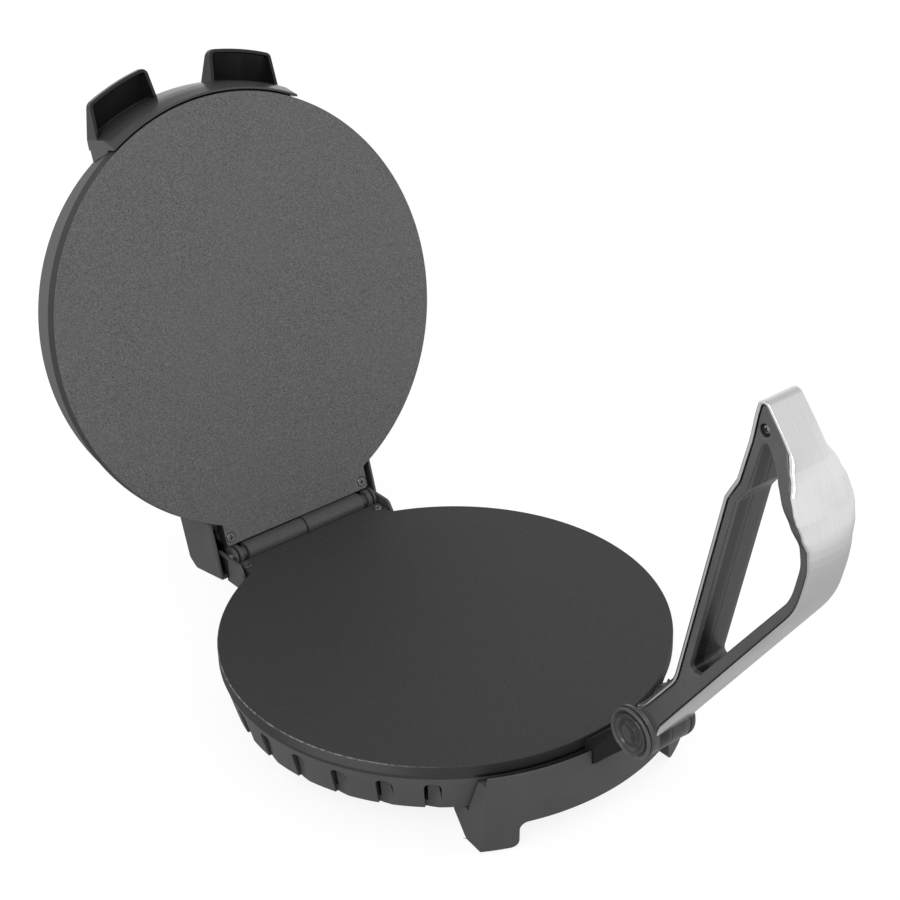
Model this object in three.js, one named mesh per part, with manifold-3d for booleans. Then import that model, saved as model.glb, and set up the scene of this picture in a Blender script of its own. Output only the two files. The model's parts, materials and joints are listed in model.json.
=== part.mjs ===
// Electric roti maker: two round cast cooking plates joined by a hinge, with a pressing lever in front.
// Lengths are in millimetres. The closed appliance is drawn with its lower cooking face at height zero,
// +Y towards the hinge and +Z up. The lid and the lever are then swung open on their axles.

import * as THREE from 'three';
import { mergeVertices } from 'three/addons/utils/BufferGeometryUtils.js';
import Module from 'manifold-3d';

const wasm = await Module();
wasm.setup();

// Driving sizes: plates, hinge and lever
const PLATE_RADIUS = 127.5;
const PLATE_THICKNESS = 8.25;
const PLATE_EDGE_CHAMFER = 0.7;
const CLOSED_GAP = 2;
const HINGE_STANDOFF = 9.1;
const HINGE_TUBE_RADIUS = 6;
const HINGE_PIN_RADIUS = 2.3;
const LID_OPEN_ANGLE = THREE.MathUtils.degToRad(105.05);
const LEVER_OPEN_ANGLE = THREE.MathUtils.degToRad(103.6);
const LEVER_LENGTH = 225.6;
const LEVER_DEPTH = 70.2;
const PIVOT_HEIGHT = 28.1;

// Clearances
const SEAT_GAP = 0.3;
const RUNNING_GAP = 0.35;
const CUT_OVERRUN = 5;

// Casing of the base and the lid
const SKIRT_STEP = 0.5;
const SKIRT_TAPER = 5.7;
const SKIRT_HEIGHT = 22.95;
const SKIRT_WALL = 2.2;
const LEDGE_WIDTH = 21.3;
const LEDGE_THICKNESS = 2;
const LID_TOP_RISE = 6.7;
const LID_TOP_WALL = 2;
const LID_SHOULDER_RADIUS = 9;
const POST_SET = 8;
const POST_RADIUS = 4;
const POST_COUNT = 4;
const BOTTOM_COVER_THICKNESS = 1.5;
const BOTTOM_COVER_RECESS = 0.8;
const VENT_SLOT_COUNT = 14;
const VENT_SLOT_LENGTH = 20;
const VENT_SLOT_WIDTH = 3;
const VENT_RING_INSET = 38;

// Vent recesses round the skirt
const NOTCH_PITCH_ANGLE = THREE.MathUtils.degToRad(11.7);
const NOTCH_FIRST_ANGLE = THREE.MathUtils.degToRad(42.1);
const NOTCH_PER_SIDE = 9;
const NOTCH_WIDTH = 9;
const NOTCH_HEAD = 4;
const NOTCH_DEPTH = 1;
const NOTCH_CORNER = 3;
const NOTCH_WALL = 1.6;
const NOTCH_SLIT_WIDTH = 1.7;
const NOTCH_SLIT_HEAD = 3;

// Screws
const SCREW_HEAD_RADIUS = 2.75;
const SCREW_SHANK_RADIUS = 1.45;
const SCREW_HEAD_HEIGHT = 1.7;
const SCREW_LENGTH = 14;
const SCREW_CROSS_LENGTH = 3.2;
const SCREW_CROSS_WIDTH = 0.75;
const SCREW_CROSS_DEPTH = 1.1;
const PAN_HEAD_RADIUS = 3;
const PAN_HEAD_HEIGHT = 1.6;
const COVER_SCREW_LENGTH = 10;

// Hinge tab of each casting
const TAB_HALF_WIDTH = 52;
const TAB_EDGE_GAP = 0.4;
const TAB_ROOT_OVERLAP = 26;
const TAB_SCREW_INSET = 3.65;
const TAB_SCREW_BACK = 11.2;
const KNUCKLE_SPLIT_GAP = 0.8;
const KNUCKLE_END_GAP = 0.7;
const KNUCKLE_SHORT_LENGTH = 8.9;
const KNUCKLE_WEB_HEIGHT = 4.4;
const KNUCKLE_WEB_DROP = 1.2;

// Heating element and its dish
const HEATER_INSET = 22;
const HEATER_TUBE_RADIUS = 3.2;
const HEATER_GROOVE_DEPTH = 4;
const HEATER_OPEN_ANGLE = THREE.MathUtils.degToRad(24);
const HEATER_PIN_RADIUS = 1.3;
const HEATER_PIN_LENGTH = 12;
const REFLECTOR_SHEET = 0.8;
const REFLECTOR_DEPTH = 5.2;
const REFLECTOR_FLOOR_INSET = 10;
const REFLECTOR_SLOPE_INSET = 3;
const REFLECTOR_RIM_WIDTH = 5.5;
const REFLECTOR_HOLE_RADIUS = 2.6;
const THERMOSTAT_RADIUS = 8.5;
const THERMOSTAT_X = 26;
const THERMOSTAT_FLANGE = 1.6;
const THERMOSTAT_EAR_REACH = 12.7;
const FUSE_RADIUS = 2;
const FUSE_LENGTH = 16;
const FUSE_X = -30;
const FUSE_FLAT = 1.4;
const BLOCK_LENGTH = 34;
const BLOCK_WIDTH = 14;
const BLOCK_HEADROOM = 3.05;
const BLOCK_INSET = 14;
const BLOCK_WELL_RADIUS = 2.6;
const BLOCK_WELL_DEPTH = 5;
const BLOCK_WELL_PITCH = 10;

// Front and rear brackets with their legs
const BRACKET_STANDOFF = 9;
const BRACKET_TOP = 2;
const BRACKET_DROP = 3.5;
const BRACKET_WALL = 2.5;
const BRACKET_RIM_GAP = 1;
const BRACKET_SIDE_X = 66.8;
const BRACKET_SIDE_INSET = 8.57;
const BRACKET_SIDE_ANGLE = THREE.MathUtils.degToRad(6);
const BRACKET_DRAFT_ANGLE = THREE.MathUtils.degToRad(5.7);
const BRACKET_POCKET_INNER_X = 17;
const BRACKET_POCKET_WALL = 2.5;
const BRACKET_UNDERCUT_REACH = 15;
const LEG_DROP = 18.5;
const LEG_OUTER_SPARE = 9.2;
const LEG_WIDTH = 13.3;
const LEG_CORNER = 4.5;
const LEG_REACH_TOP = 26.07;
const LEG_REACH_BOTTOM = 16.57;
const LEG_HEEL = 3;
const REAR_BRACKET_LAP = 5.5;
const REAR_WALL_THICKNESS = 4;
const EAR_GAP = 2;
const EAR_WALL = 2;
const EAR_TOP = 3.4;
const EAR_RIM_GAP = 1.4;
const EAR_DROP = 5.35;
const EAR_BACK_RADIUS = 10.8;
const EAR_CORNER = 3;
const EAR_BROW_CORNER = 5;
const EAR_TAIL_HEIGHT = 6.8;
const EAR_CREST_REACH = 9.7;
const EAR_BROW = 6.2;
const FOOT_RADIUS = 4.8;
const FOOT_HEIGHT = 3;
const FOOT_STAND = 1;
const FOOT_SIDE_INSET = 2.8;
const FOOT_FRONT_INSET = 8.07;

// Cord inlet
const INLET_BELOW_CASE = 8.45;
const INLET_NECK_RADIUS = 6;
const INLET_FLANGE_RADIUS = 8.5;
const INLET_FLANGE_THICKNESS = 2;
const INLET_BORE_RADIUS = 3.6;

// Pivot arm and its pin
const ARM_HALF_WIDTH = 12.3;
const ARM_HALF_THICKNESS = 6.5;
const ARM_SHOULDER_DROP = 0.308;
const ARM_KNUCKLE_RADIUS = 9;
const ARM_SOCKET_DEPTH = 7.2;
const ARM_ROOT_BOTTOM = 11.2;
const PIVOT_PIN_RADIUS = 2.9;
const ARM_SCREW_X = 6.5;
const ARM_SCREW_INSET = 3.7;
const ARM_SCREW_WELL_RADIUS = 3.6;
const ARM_SCREW_SEAT_DROP = 19;
const ARM_SCREW_LENGTH = 13;

// Lever barrel, body and band
const BARREL_RADIUS = 14.1;
const BARREL_HALF_WIDTH = 16.5;
const BARREL_RIM = 2;
const BARREL_DISH_DEPTH = 1.4;
const ARM_STOP_GAP = 0.6;
const CAP_RADIUS = 10.9;
const CAP_HEIGHT = 1.9;
const CAP_DISH_RADIUS = 8.4;
const CAP_DISH_DEPTH = 1.1;
const CAP_DIMPLE_RADIUS = 1.3;
const BODY_HALF_WIDTH = 12;
const TIP_HALF_WIDTH = 9.7;
const PAD_HALF_WIDTH = 17.7;
const SEAM_GAP = 0.3;
const BAND_THICKNESS = 1.5;
const BAND_OVERHANG = 0.5;
const BAND_ROOT_GAP = 0.5;
const PAD_FLOOR_SHARE = 0.46;
const TIP_SCREW_LENGTH_SHARE = 0.939;
const TIP_SCREW_DEPTH_SHARE = 0.335;
const TIP_SCREW_HEAD_RADIUS = 2.5;
const TIP_SCREW_WELL_RADIUS = 3.3;
const TIP_SCREW_WELL_DEPTH = 2.4;
const TIP_SCREW_END_WALL = 2;

// Lid collar with its two grips
const COLLAR_END_X = 62.3;
const COLLAR_LIP_STEP = 2.3;
const COLLAR_STEP = 5.8;
const COLLAR_FLARE_HEIGHT = 10;
const COLLAR_TOP_DROP = 2;
const COLLAR_TOP_CHAMFER = 2.6;
const GRIP_REACH = 18.3;
const GRIP_WALL = 2;
const GRIP_OUTER_TAPER = 0.9;
const GRIP_INNER_ROOT_X = 16.8;
const GRIP_INNER_TAPER = 4.4;
const GRIP_CORNER = 4;
const GRIP_SIDE_SLOPE = 1;
const GRIP_ARC_TRIM = 2.8;
const GRIP_ROOT_INSET = 13.3;
const GRIP_SEAT_DEPTH = 5.2;
const GRIP_RIM_DROP = 11;
const GRIP_ROOT_RISE = 1.5;
const GRIP_TIP_DROP = 8.5;

// Hinge cover at the back of the lid
const COVER_EAR_GAP = 1.6;
const COVER_WALL = 1.9;
const COVER_BOTTOM = 5;
const COVER_RISE = 5.9;
const COVER_BACK_REACH = 12.9;
const COVER_CREST_REACH = 3.9;
const COVER_SHOULDER_REACH = 10.2;
const COVER_SHOULDER_DROP = 5.4;
const COVER_CORNER = 4;
const COVER_FRONT_REACH = 44.6;
const COVER_POST_RADIUS = 4.2;
const LAMP_X = 14;
const LAMP_INSET = 7.6;
const LAMP_RADIUS = 3.6;
const LAMP_FLANGE_RADIUS = 4.8;
const LAMP_RISE = 1.6;
const LAMP_FLANGE_HEIGHT = 0.8;
const LAMP_STEM = 6;

// Facets round a circle
const ROUND_LARGE = 80;
const ROUND_MEDIUM = 32;
const ROUND_SMALL = 16;
const ROUND_TINY = 10;

// Sizes that follow from the ones above: the casing round the plate
const SKIRT_TOP_RADIUS = PLATE_RADIUS - SKIRT_STEP;
const SKIRT_BOTTOM_RADIUS = SKIRT_TOP_RADIUS - SKIRT_TAPER;
const LEDGE_RADIUS = SKIRT_BOTTOM_RADIUS - LEDGE_WIDTH;
const POST_CIRCLE_RADIUS = LEDGE_RADIUS + POST_SET;
const VENT_CIRCLE_RADIUS = LEDGE_RADIUS - VENT_RING_INSET;
const NOTCH_FLOOR_RADIUS = SKIRT_BOTTOM_RADIUS - NOTCH_DEPTH;
const CASE_TOP = -PLATE_THICKNESS - SEAT_GAP;
const SKIRT_BOTTOM = CASE_TOP - SKIRT_HEIGHT;
const LEDGE_BOTTOM = CASE_TOP - LEDGE_THICKNESS;
const COVER_UNDERSIDE = SKIRT_BOTTOM + BOTTOM_COVER_RECESS;
const COVER_UPSIDE = COVER_UNDERSIDE + BOTTOM_COVER_THICKNESS;
const POST_BOTTOM = COVER_UPSIDE + SEAT_GAP;
const BOTTOM_COVER_RADIUS = NOTCH_FLOOR_RADIUS - NOTCH_WALL - SEAT_GAP;
const SCREW_HOLE_RADIUS = SCREW_SHANK_RADIUS + SEAT_GAP;

// The hinge behind the plate
const HINGE_REACH = PLATE_RADIUS + HINGE_STANDOFF;
const HINGE_HEIGHT = CLOSED_GAP / 2;
const TAB_EDGE = HINGE_REACH - HINGE_TUBE_RADIUS - TAB_EDGE_GAP;
const TAB_SCREW_X = TAB_HALF_WIDTH - TAB_SCREW_INSET;
const TAB_SCREW_Y = HINGE_REACH - TAB_SCREW_BACK;
const KNUCKLE_SHORT_START = TAB_HALF_WIDTH - KNUCKLE_SHORT_LENGTH;
const KNUCKLE_LONG_END = KNUCKLE_SHORT_START - KNUCKLE_END_GAP;
const EAR_INNER_X = TAB_HALF_WIDTH + EAR_GAP;
const EAR_X = EAR_INNER_X + EAR_WALL;
const EAR_FRONT = Math.sqrt(PLATE_RADIUS ** 2 - EAR_INNER_X ** 2) + EAR_RIM_GAP;
const EAR_BOTTOM = PLATE_THICKNESS + EAR_DROP;
const REAR_WALL_RADIUS = SKIRT_TOP_RADIUS + REAR_WALL_THICKNESS;
const INLET_DROP = -CASE_TOP + INLET_BELOW_CASE;

// What lies under the plate
const HEATER_RADIUS = LEDGE_RADIUS - HEATER_INSET;
const REFLECTOR_FLOOR_RADIUS = LEDGE_RADIUS - REFLECTOR_FLOOR_INSET;
const REFLECTOR_SLOPE_RADIUS = LEDGE_RADIUS - REFLECTOR_SLOPE_INSET;
const REFLECTOR_RIM_RADIUS = REFLECTOR_SLOPE_RADIUS + REFLECTOR_RIM_WIDTH;
const REFLECTOR_RIM_TOP = LEDGE_BOTTOM - SEAT_GAP;
const REFLECTOR_FLOOR_TOP = REFLECTOR_RIM_TOP - REFLECTOR_DEPTH;
const BLOCK_TOP = REFLECTOR_FLOOR_TOP - REFLECTOR_SHEET - BLOCK_HEADROOM;
const BLOCK_Y = LEDGE_RADIUS - BLOCK_INSET;

// Brackets, legs and feet
const BRACKET_RADIUS = PLATE_RADIUS + BRACKET_STANDOFF;
const BRACKET_BOTTOM = -SKIRT_BOTTOM + BRACKET_DROP;
const REAR_BRACKET_TOP = -SKIRT_BOTTOM - REAR_BRACKET_LAP;
const LEG_DEPTH = -SKIRT_BOTTOM + LEG_DROP;
const LEG_INNER_X = BRACKET_SIDE_X - LEG_WIDTH;
const LEG_OUTER_X = BRACKET_SIDE_X + LEG_OUTER_SPARE;
const BRACKET_POCKET_OUTER_X = LEG_INNER_X - BRACKET_POCKET_WALL;
const FOOT_X = BRACKET_SIDE_X - FOOT_SIDE_INSET;
const LEG_FRONT = Math.sqrt(BRACKET_RADIUS ** 2 - FOOT_X ** 2);
const LEG_BACK_TOP = LEG_FRONT - LEG_REACH_TOP;
const LEG_BACK_BOTTOM = LEG_FRONT - LEG_REACH_BOTTOM;
const BRACKET_SIDE_Y = LEG_FRONT - BRACKET_SIDE_INSET;
const FOOT_Y = LEG_FRONT - FOOT_FRONT_INSET;
const FLOOR = -LEG_DEPTH - FOOT_STAND;

// The arm and the lever's pivot
const ARM_ROOT_INNER = BRACKET_RADIUS - ARM_SOCKET_DEPTH;
const ARM_SCREW_Y = BRACKET_RADIUS - ARM_SCREW_INSET;
const ARM_SLANT = ARM_HALF_THICKNESS * Math.SQRT2;
const PIVOT_REACH = ARM_ROOT_INNER + PIVOT_HEIGHT + ARM_SLANT + ARM_SHOULDER_DROP;
const ARM_DIRECTION = -Math.PI / 4;

// Collar, grips and hinge cover of the lid
const LID_SKIRT_TOP = CLOSED_GAP - SKIRT_BOTTOM;
const COLLAR_LIP_RADIUS = PLATE_RADIUS + COLLAR_LIP_STEP;
const COLLAR_RADIUS = PLATE_RADIUS + COLLAR_STEP;
const COLLAR_TOP = LID_SKIRT_TOP - COLLAR_TOP_DROP;
const GRIP_RADIUS = COLLAR_RADIUS + GRIP_REACH;
const GRIP_SEAT_RADIUS = COLLAR_RADIUS - GRIP_SEAT_DEPTH;
const GRIP_OUTER_TIP_X = COLLAR_END_X - GRIP_OUTER_TAPER;
const GRIP_INNER_TIP_X = GRIP_INNER_ROOT_X + GRIP_INNER_TAPER;
const GRIP_ROOT_Y = COLLAR_RADIUS - GRIP_ROOT_INSET;
const GRIP_OUTER_ROOT_Y = Math.sqrt(GRIP_SEAT_RADIUS ** 2 - COLLAR_END_X ** 2);
const GRIP_RIM_HEIGHT = COLLAR_TOP - GRIP_RIM_DROP;
const GRIP_ROOT_TOP = COLLAR_TOP + GRIP_ROOT_RISE;
const GRIP_TIP_TOP = GRIP_ROOT_TOP - GRIP_TIP_DROP;
const COVER_HALF_WIDTH = EAR_X + COVER_EAR_GAP + COVER_WALL;
const COVER_TOP = LID_SKIRT_TOP + COVER_RISE;
const COVER_BACK = HINGE_REACH + COVER_BACK_REACH;
const COVER_SHOULDER_Y = HINGE_REACH + COVER_CREST_REACH;
const COVER_SHOULDER_BACK = HINGE_REACH + COVER_SHOULDER_REACH;
const COVER_SHOULDER_TOP = COVER_TOP - COVER_SHOULDER_DROP;
const COVER_FRONT = HINGE_REACH - COVER_FRONT_REACH;
const LAMP_Y = HINGE_REACH - LAMP_INSET;

// Finishes
const finishes = {
  plateLower: { color: 0x3c3c3e, roughness: 0.62, metalness: 0.25 },
  plateUpper: { color: 0x5c5c5e, roughness: 0.6, metalness: 0.3 },
  casing: { color: 0x5b5b5d, roughness: 0.5, metalness: 0.1 },
  blackPlastic: { color: 0x1c1c1e, roughness: 0.35, metalness: 0 },
  satinPlastic: { color: 0x48484a, roughness: 0.5, metalness: 0 },
  brushedSteel: { color: 0xd9d9d9, roughness: 0.3, metalness: 1 },
  darkScrew: { color: 0x2a2a2b, roughness: 0.4, metalness: 0.9 },
  sheetSteel: { color: 0xb4b4b0, roughness: 0.4, metalness: 1 },
  ceramic: { color: 0xd8d2c4, roughness: 0.7, metalness: 0 },
  rubber: { color: 0x161616, roughness: 0.9, metalness: 0 },
  lampRed: { color: 0xb01812, roughness: 0.2, metalness: 0 },
  lampGreen: { color: 0x1c8a34, roughness: 0.2, metalness: 0 },
};

// A closed geometry as a solid that can be joined and cut
function solid(geometry) {
  const bare = new THREE.BufferGeometry();
  bare.setAttribute('position', geometry.getAttribute('position'));
  bare.setIndex(geometry.index);
  const merged = mergeVertices(bare);
  return new wasm.Manifold(new wasm.Mesh({
    numProp: 3,
    vertProperties: merged.getAttribute('position').array,
    triVerts: Uint32Array.from(merged.index.array),
  }));
}

// A solid as a geometry again
function geometryOf(shape) {
  const { vertProperties, triVerts } = shape.getMesh();
  const geometry = new THREE.BufferGeometry();
  geometry.setAttribute('position', new THREE.BufferAttribute(vertProperties, 3));
  geometry.setIndex(new THREE.BufferAttribute(triVerts, 1));
  geometry.computeVertexNormals();
  return geometry;
}

function part(name, shape, finish) {
  const material = new THREE.MeshStandardMaterial({ ...finishes[finish], flatShading: true });
  const mesh = new THREE.Mesh(geometryOf(shape), material);
  mesh.name = name;
  return mesh;
}

function join(...shapes) {
  return shapes.reduce((sum, shape) => sum.add(shape));
}

function cut(shape, ...tools) {
  return tools.reduce((rest, tool) => rest.subtract(tool), shape);
}

// A block between two corners
function block(low, high) {
  const size = high.map((value, axis) => value - low[axis]);
  const geometry = new THREE.BoxGeometry(...size);
  geometry.translate(...low.map((value, axis) => value + size[axis] / 2));
  return solid(geometry);
}

// A solid of revolution about an upright axis at (x, y), from (radius, height) points listed anticlockwise
function turned(points, segments = ROUND_LARGE, [x, y] = [0, 0]) {
  const profile = [...points, points[0]].map(([radius, height]) => new THREE.Vector2(radius, height));
  const geometry = new THREE.LatheGeometry(profile, segments);
  return solid(geometry.rotateX(Math.PI / 2).translate(x, y, 0));
}

// A cylinder along 'x', 'y' or 'z' between two stations, centred on (a, b) in the other two axes
function rod(axis, radius, from, to, [a, b] = [0, 0], segments = ROUND_SMALL) {
  const geometry = new THREE.CylinderGeometry(radius, radius, to - from, segments);
  geometry.translate(0, (from + to) / 2, 0);
  if (axis === 'x') geometry.rotateZ(-Math.PI / 2).translate(0, a, b);
  if (axis === 'y') geometry.translate(a, 0, b);
  if (axis === 'z') geometry.rotateX(Math.PI / 2).translate(a, b, 0);
  return solid(geometry);
}

// An outline of (first, second) points pushed along the third axis between two stations
const planes = {
  xy: new THREE.Matrix4(),
  yz: new THREE.Matrix4().makeBasis(
    new THREE.Vector3(0, 1, 0), new THREE.Vector3(0, 0, 1), new THREE.Vector3(1, 0, 0)),
  xz: new THREE.Matrix4().makeBasis(
    new THREE.Vector3(1, 0, 0), new THREE.Vector3(0, 0, 1), new THREE.Vector3(0, -1, 0)),
};

function pushed(plane, outline, from, to) {
  const points = outline.map((point) => (point.isVector2 ? point : new THREE.Vector2(...point)));
  const geometry = new THREE.ExtrudeGeometry(new THREE.Shape(points), {
    depth: to - from, bevelEnabled: false, steps: 1,
  });
  geometry.translate(0, 0, from).applyMatrix4(planes[plane]);
  return solid(geometry);
}

// A closed polygon with its corners rounded; each corner is [first, second, radius]
function rounded(corners, arcStep = THREE.MathUtils.degToRad(12)) {
  const points = [];
  corners.forEach(([x, y, radius = 0], index) => {
    const here = new THREE.Vector2(x, y);
    const before = new THREE.Vector2(...corners.at(index - 1)).sub(here).normalize();
    const after = new THREE.Vector2(...corners[(index + 1) % corners.length]).sub(here).normalize();
    const half = Math.acos(THREE.MathUtils.clamp(before.dot(after), -1, 1)) / 2;
    if (radius === 0) {
      points.push(here);
      return;
    }
    const bisector = before.clone().add(after).normalize();
    const centre = here.clone().addScaledVector(bisector, radius / Math.sin(half));
    const reach = radius / Math.tan(half);
    const start = here.clone().addScaledVector(before, reach).sub(centre).angle();
    const end = here.clone().addScaledVector(after, reach).sub(centre).angle();
    const sweep = Math.atan2(Math.sin(end - start), Math.cos(end - start));
    const steps = Math.max(2, Math.ceil(Math.abs(sweep) / arcStep));
    for (let step = 0; step <= steps; step += 1) {
      const angle = start + (sweep * step) / steps;
      points.push(new THREE.Vector2(Math.cos(angle), Math.sin(angle)).multiplyScalar(radius).add(centre));
    }
  });
  return points;
}

// A closed outline moved inwards by a distance; its points run anticlockwise
function inset(points, distance) {
  return points.map((point, index) => {
    const before = point.clone().sub(points.at(index - 1)).normalize();
    const after = points[(index + 1) % points.length].clone().sub(point).normalize();
    const inward = new THREE.Vector2(-before.y - after.y, before.x + after.x).normalize();
    const stretch = Math.max(inward.dot(new THREE.Vector2(-after.y, after.x)), Math.SQRT1_2);
    return point.clone().addScaledVector(inward, distance / stretch);
  });
}

// The cone of the skirt grown by a gap, as a plug that cuts what stands against it
function skirtPlug(gap) {
  const slope = (SKIRT_TOP_RADIUS - SKIRT_BOTTOM_RADIUS) / SKIRT_HEIGHT;
  const drop = SKIRT_HEIGHT + CUT_OVERRUN;
  const bottomRadius = SKIRT_TOP_RADIUS + gap - slope * drop;
  return turned([
    [0, CASE_TOP - drop],
    [bottomRadius, CASE_TOP - drop],
    [SKIRT_TOP_RADIUS + gap, CASE_TOP],
    [SKIRT_TOP_RADIUS + gap, CASE_TOP + gap],
    [0, CASE_TOP + gap],
  ]);
}

// Fasteners, drawn head up with the top of the head at height zero
function crossRecess(depth) {
  const along = SCREW_CROSS_LENGTH / 2;
  const across = SCREW_CROSS_WIDTH / 2;
  return join(
    block([-along, -across, -depth], [along, across, CUT_OVERRUN]),
    block([-across, -along, -depth], [across, along, CUT_OVERRUN]),
  );
}

function countersunkScrew(length) {
  const body = turned([
    [0, -length],
    [SCREW_SHANK_RADIUS, -length],
    [SCREW_SHANK_RADIUS, -SCREW_HEAD_HEIGHT],
    [SCREW_HEAD_RADIUS, 0],
    [0, 0],
  ], ROUND_SMALL);
  return cut(body, crossRecess(SCREW_CROSS_DEPTH));
}

function panScrew(length, headRadius) {
  const body = turned([
    [0, -length],
    [SCREW_SHANK_RADIUS, -length],
    [SCREW_SHANK_RADIUS, -PAN_HEAD_HEIGHT],
    [headRadius, -PAN_HEAD_HEIGHT],
    [headRadius, -PAN_HEAD_HEIGHT / 2],
    [headRadius * Math.SQRT1_2, 0],
    [0, 0],
  ], ROUND_TINY);
  return cut(body, crossRecess(SCREW_CROSS_DEPTH));
}

// One cooking plate: disc, hinge tab and its own knuckles; both plates are this casting
function plateCasting() {
  const disc = turned([
    [0, -PLATE_THICKNESS],
    [PLATE_RADIUS - PLATE_EDGE_CHAMFER, -PLATE_THICKNESS],
    [PLATE_RADIUS, -PLATE_THICKNESS + PLATE_EDGE_CHAMFER],
    [PLATE_RADIUS, -PLATE_EDGE_CHAMFER],
    [PLATE_RADIUS - PLATE_EDGE_CHAMFER, 0],
    [0, 0],
  ], ROUND_LARGE);
  const tab = block([-TAB_HALF_WIDTH, TAB_EDGE - TAB_ROOT_OVERLAP, -PLATE_THICKNESS],
    [TAB_HALF_WIDTH, TAB_EDGE, 0]);
  const knuckles = [
    [-KNUCKLE_LONG_END, -KNUCKLE_SPLIT_GAP / 2],
    [KNUCKLE_SHORT_START, TAB_HALF_WIDTH],
  ].map(([from, to]) => join(
    rod('x', HINGE_TUBE_RADIUS, from, to, [HINGE_REACH, HINGE_HEIGHT], ROUND_SMALL),
    block([from, TAB_EDGE - HINGE_TUBE_RADIUS, -KNUCKLE_WEB_DROP - KNUCKLE_WEB_HEIGHT],
      [to, HINGE_REACH, -KNUCKLE_WEB_DROP]),
  ));
  const bore = rod('x', HINGE_PIN_RADIUS + RUNNING_GAP, -TAB_HALF_WIDTH - CUT_OVERRUN,
    TAB_HALF_WIDTH + CUT_OVERRUN, [HINGE_REACH, HINGE_HEIGHT]);
  const grooveHalf = HEATER_TUBE_RADIUS + SEAT_GAP;
  const groove = turned([
    [HEATER_RADIUS - grooveHalf, -PLATE_THICKNESS - CUT_OVERRUN],
    [HEATER_RADIUS + grooveHalf, -PLATE_THICKNESS - CUT_OVERRUN],
    [HEATER_RADIUS + grooveHalf, -PLATE_THICKNESS + HEATER_GROOVE_DEPTH],
    [HEATER_RADIUS - grooveHalf, -PLATE_THICKNESS + HEATER_GROOVE_DEPTH],
  ], ROUND_LARGE);
  const screwHoles = [-TAB_SCREW_X, TAB_SCREW_X].map((x) => turned([
    [0, -PLATE_THICKNESS - CUT_OVERRUN],
    [SCREW_HOLE_RADIUS, -PLATE_THICKNESS - CUT_OVERRUN],
    [SCREW_HOLE_RADIUS, -SCREW_HEAD_HEIGHT - SEAT_GAP],
    [SCREW_HEAD_RADIUS + SEAT_GAP, 0],
    [SCREW_HEAD_RADIUS + SEAT_GAP, CUT_OVERRUN],
    [0, CUT_OVERRUN],
  ], ROUND_SMALL, [x, TAB_SCREW_Y]));
  return cut(join(disc, tab, ...knuckles), bore, groove, ...screwHoles);
}

// The sheathed element: an open ring in the plate's groove, with a cold pin down at each end
function heater() {
  const height = -PLATE_THICKNESS + HEATER_GROOVE_DEPTH - SEAT_GAP - HEATER_TUBE_RADIUS;
  const start = -Math.PI / 2 + HEATER_OPEN_ANGLE / 2;
  const sweep = 2 * Math.PI - HEATER_OPEN_ANGLE;
  const section = new THREE.Shape();
  section.absarc(0, 0, HEATER_TUBE_RADIUS, 0, 2 * Math.PI);
  class OpenRing extends THREE.Curve {
    getPoint(share, target = new THREE.Vector3()) {
      const angle = start + sweep * share;
      return target.set(HEATER_RADIUS * Math.cos(angle), HEATER_RADIUS * Math.sin(angle), height);
    }
  }
  const ring = solid(new THREE.ExtrudeGeometry(section, {
    extrudePath: new OpenRing(), steps: 36, curveSegments: 4,
  }));
  const inwards = HEATER_TUBE_RADIUS / HEATER_RADIUS;
  const pins = [start + inwards, start + sweep - inwards].map((angle) => rod('z', HEATER_PIN_RADIUS,
    height - HEATER_PIN_LENGTH, height,
    [HEATER_RADIUS * Math.cos(angle), HEATER_RADIUS * Math.sin(angle)], 10));
  return join(ring, ...pins);
}

// The bright dish below the element, hung under the casing's ledge
function reflector() {
  const rim = REFLECTOR_RIM_TOP;
  const dish = turned([
    [0, rim - REFLECTOR_DEPTH - REFLECTOR_SHEET],
    [REFLECTOR_FLOOR_RADIUS, rim - REFLECTOR_DEPTH - REFLECTOR_SHEET],
    [REFLECTOR_SLOPE_RADIUS, rim - REFLECTOR_SHEET],
    [REFLECTOR_RIM_RADIUS, rim - REFLECTOR_SHEET],
    [REFLECTOR_RIM_RADIUS, rim],
    [REFLECTOR_SLOPE_RADIUS, rim],
    [REFLECTOR_FLOOR_RADIUS, rim - REFLECTOR_DEPTH],
    [0, rim - REFLECTOR_DEPTH],
  ], ROUND_LARGE);
  const inwards = HEATER_TUBE_RADIUS / HEATER_RADIUS;
  const holes = [HEATER_OPEN_ANGLE / 2 + inwards, -HEATER_OPEN_ANGLE / 2 - inwards].map((angle) => rod('z',
    REFLECTOR_HOLE_RADIUS, rim - REFLECTOR_DEPTH - CUT_OVERRUN, rim,
    [HEATER_RADIUS * Math.sin(angle), -HEATER_RADIUS * Math.cos(angle)]));
  return cut(dish, ...holes);
}

// The disc thermostat between the plate and the dish
function thermostat() {
  const top = -PLATE_THICKNESS - SEAT_GAP;
  const bottom = REFLECTOR_FLOOR_TOP + SEAT_GAP;
  return join(
    rod('z', THERMOSTAT_RADIUS, bottom, top, [THERMOSTAT_X, 0], ROUND_SMALL),
    block([THERMOSTAT_X - THERMOSTAT_EAR_REACH, -THERMOSTAT_RADIUS / 2, bottom],
      [THERMOSTAT_X + THERMOSTAT_EAR_REACH, THERMOSTAT_RADIUS / 2, bottom + THERMOSTAT_FLANGE]),
  );
}

function thermalFuse() {
  const bottom = REFLECTOR_FLOOR_TOP + SEAT_GAP;
  const height = bottom + FUSE_FLAT;
  const capsule = rod('y', FUSE_RADIUS, -FUSE_LENGTH / 2, FUSE_LENGTH / 2, [FUSE_X, height]);
  const floor = block([FUSE_X - FUSE_LENGTH, -FUSE_LENGTH, bottom - CUT_OVERRUN],
    [FUSE_X + FUSE_LENGTH, FUSE_LENGTH, bottom]);
  return cut(capsule, floor);
}

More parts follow.
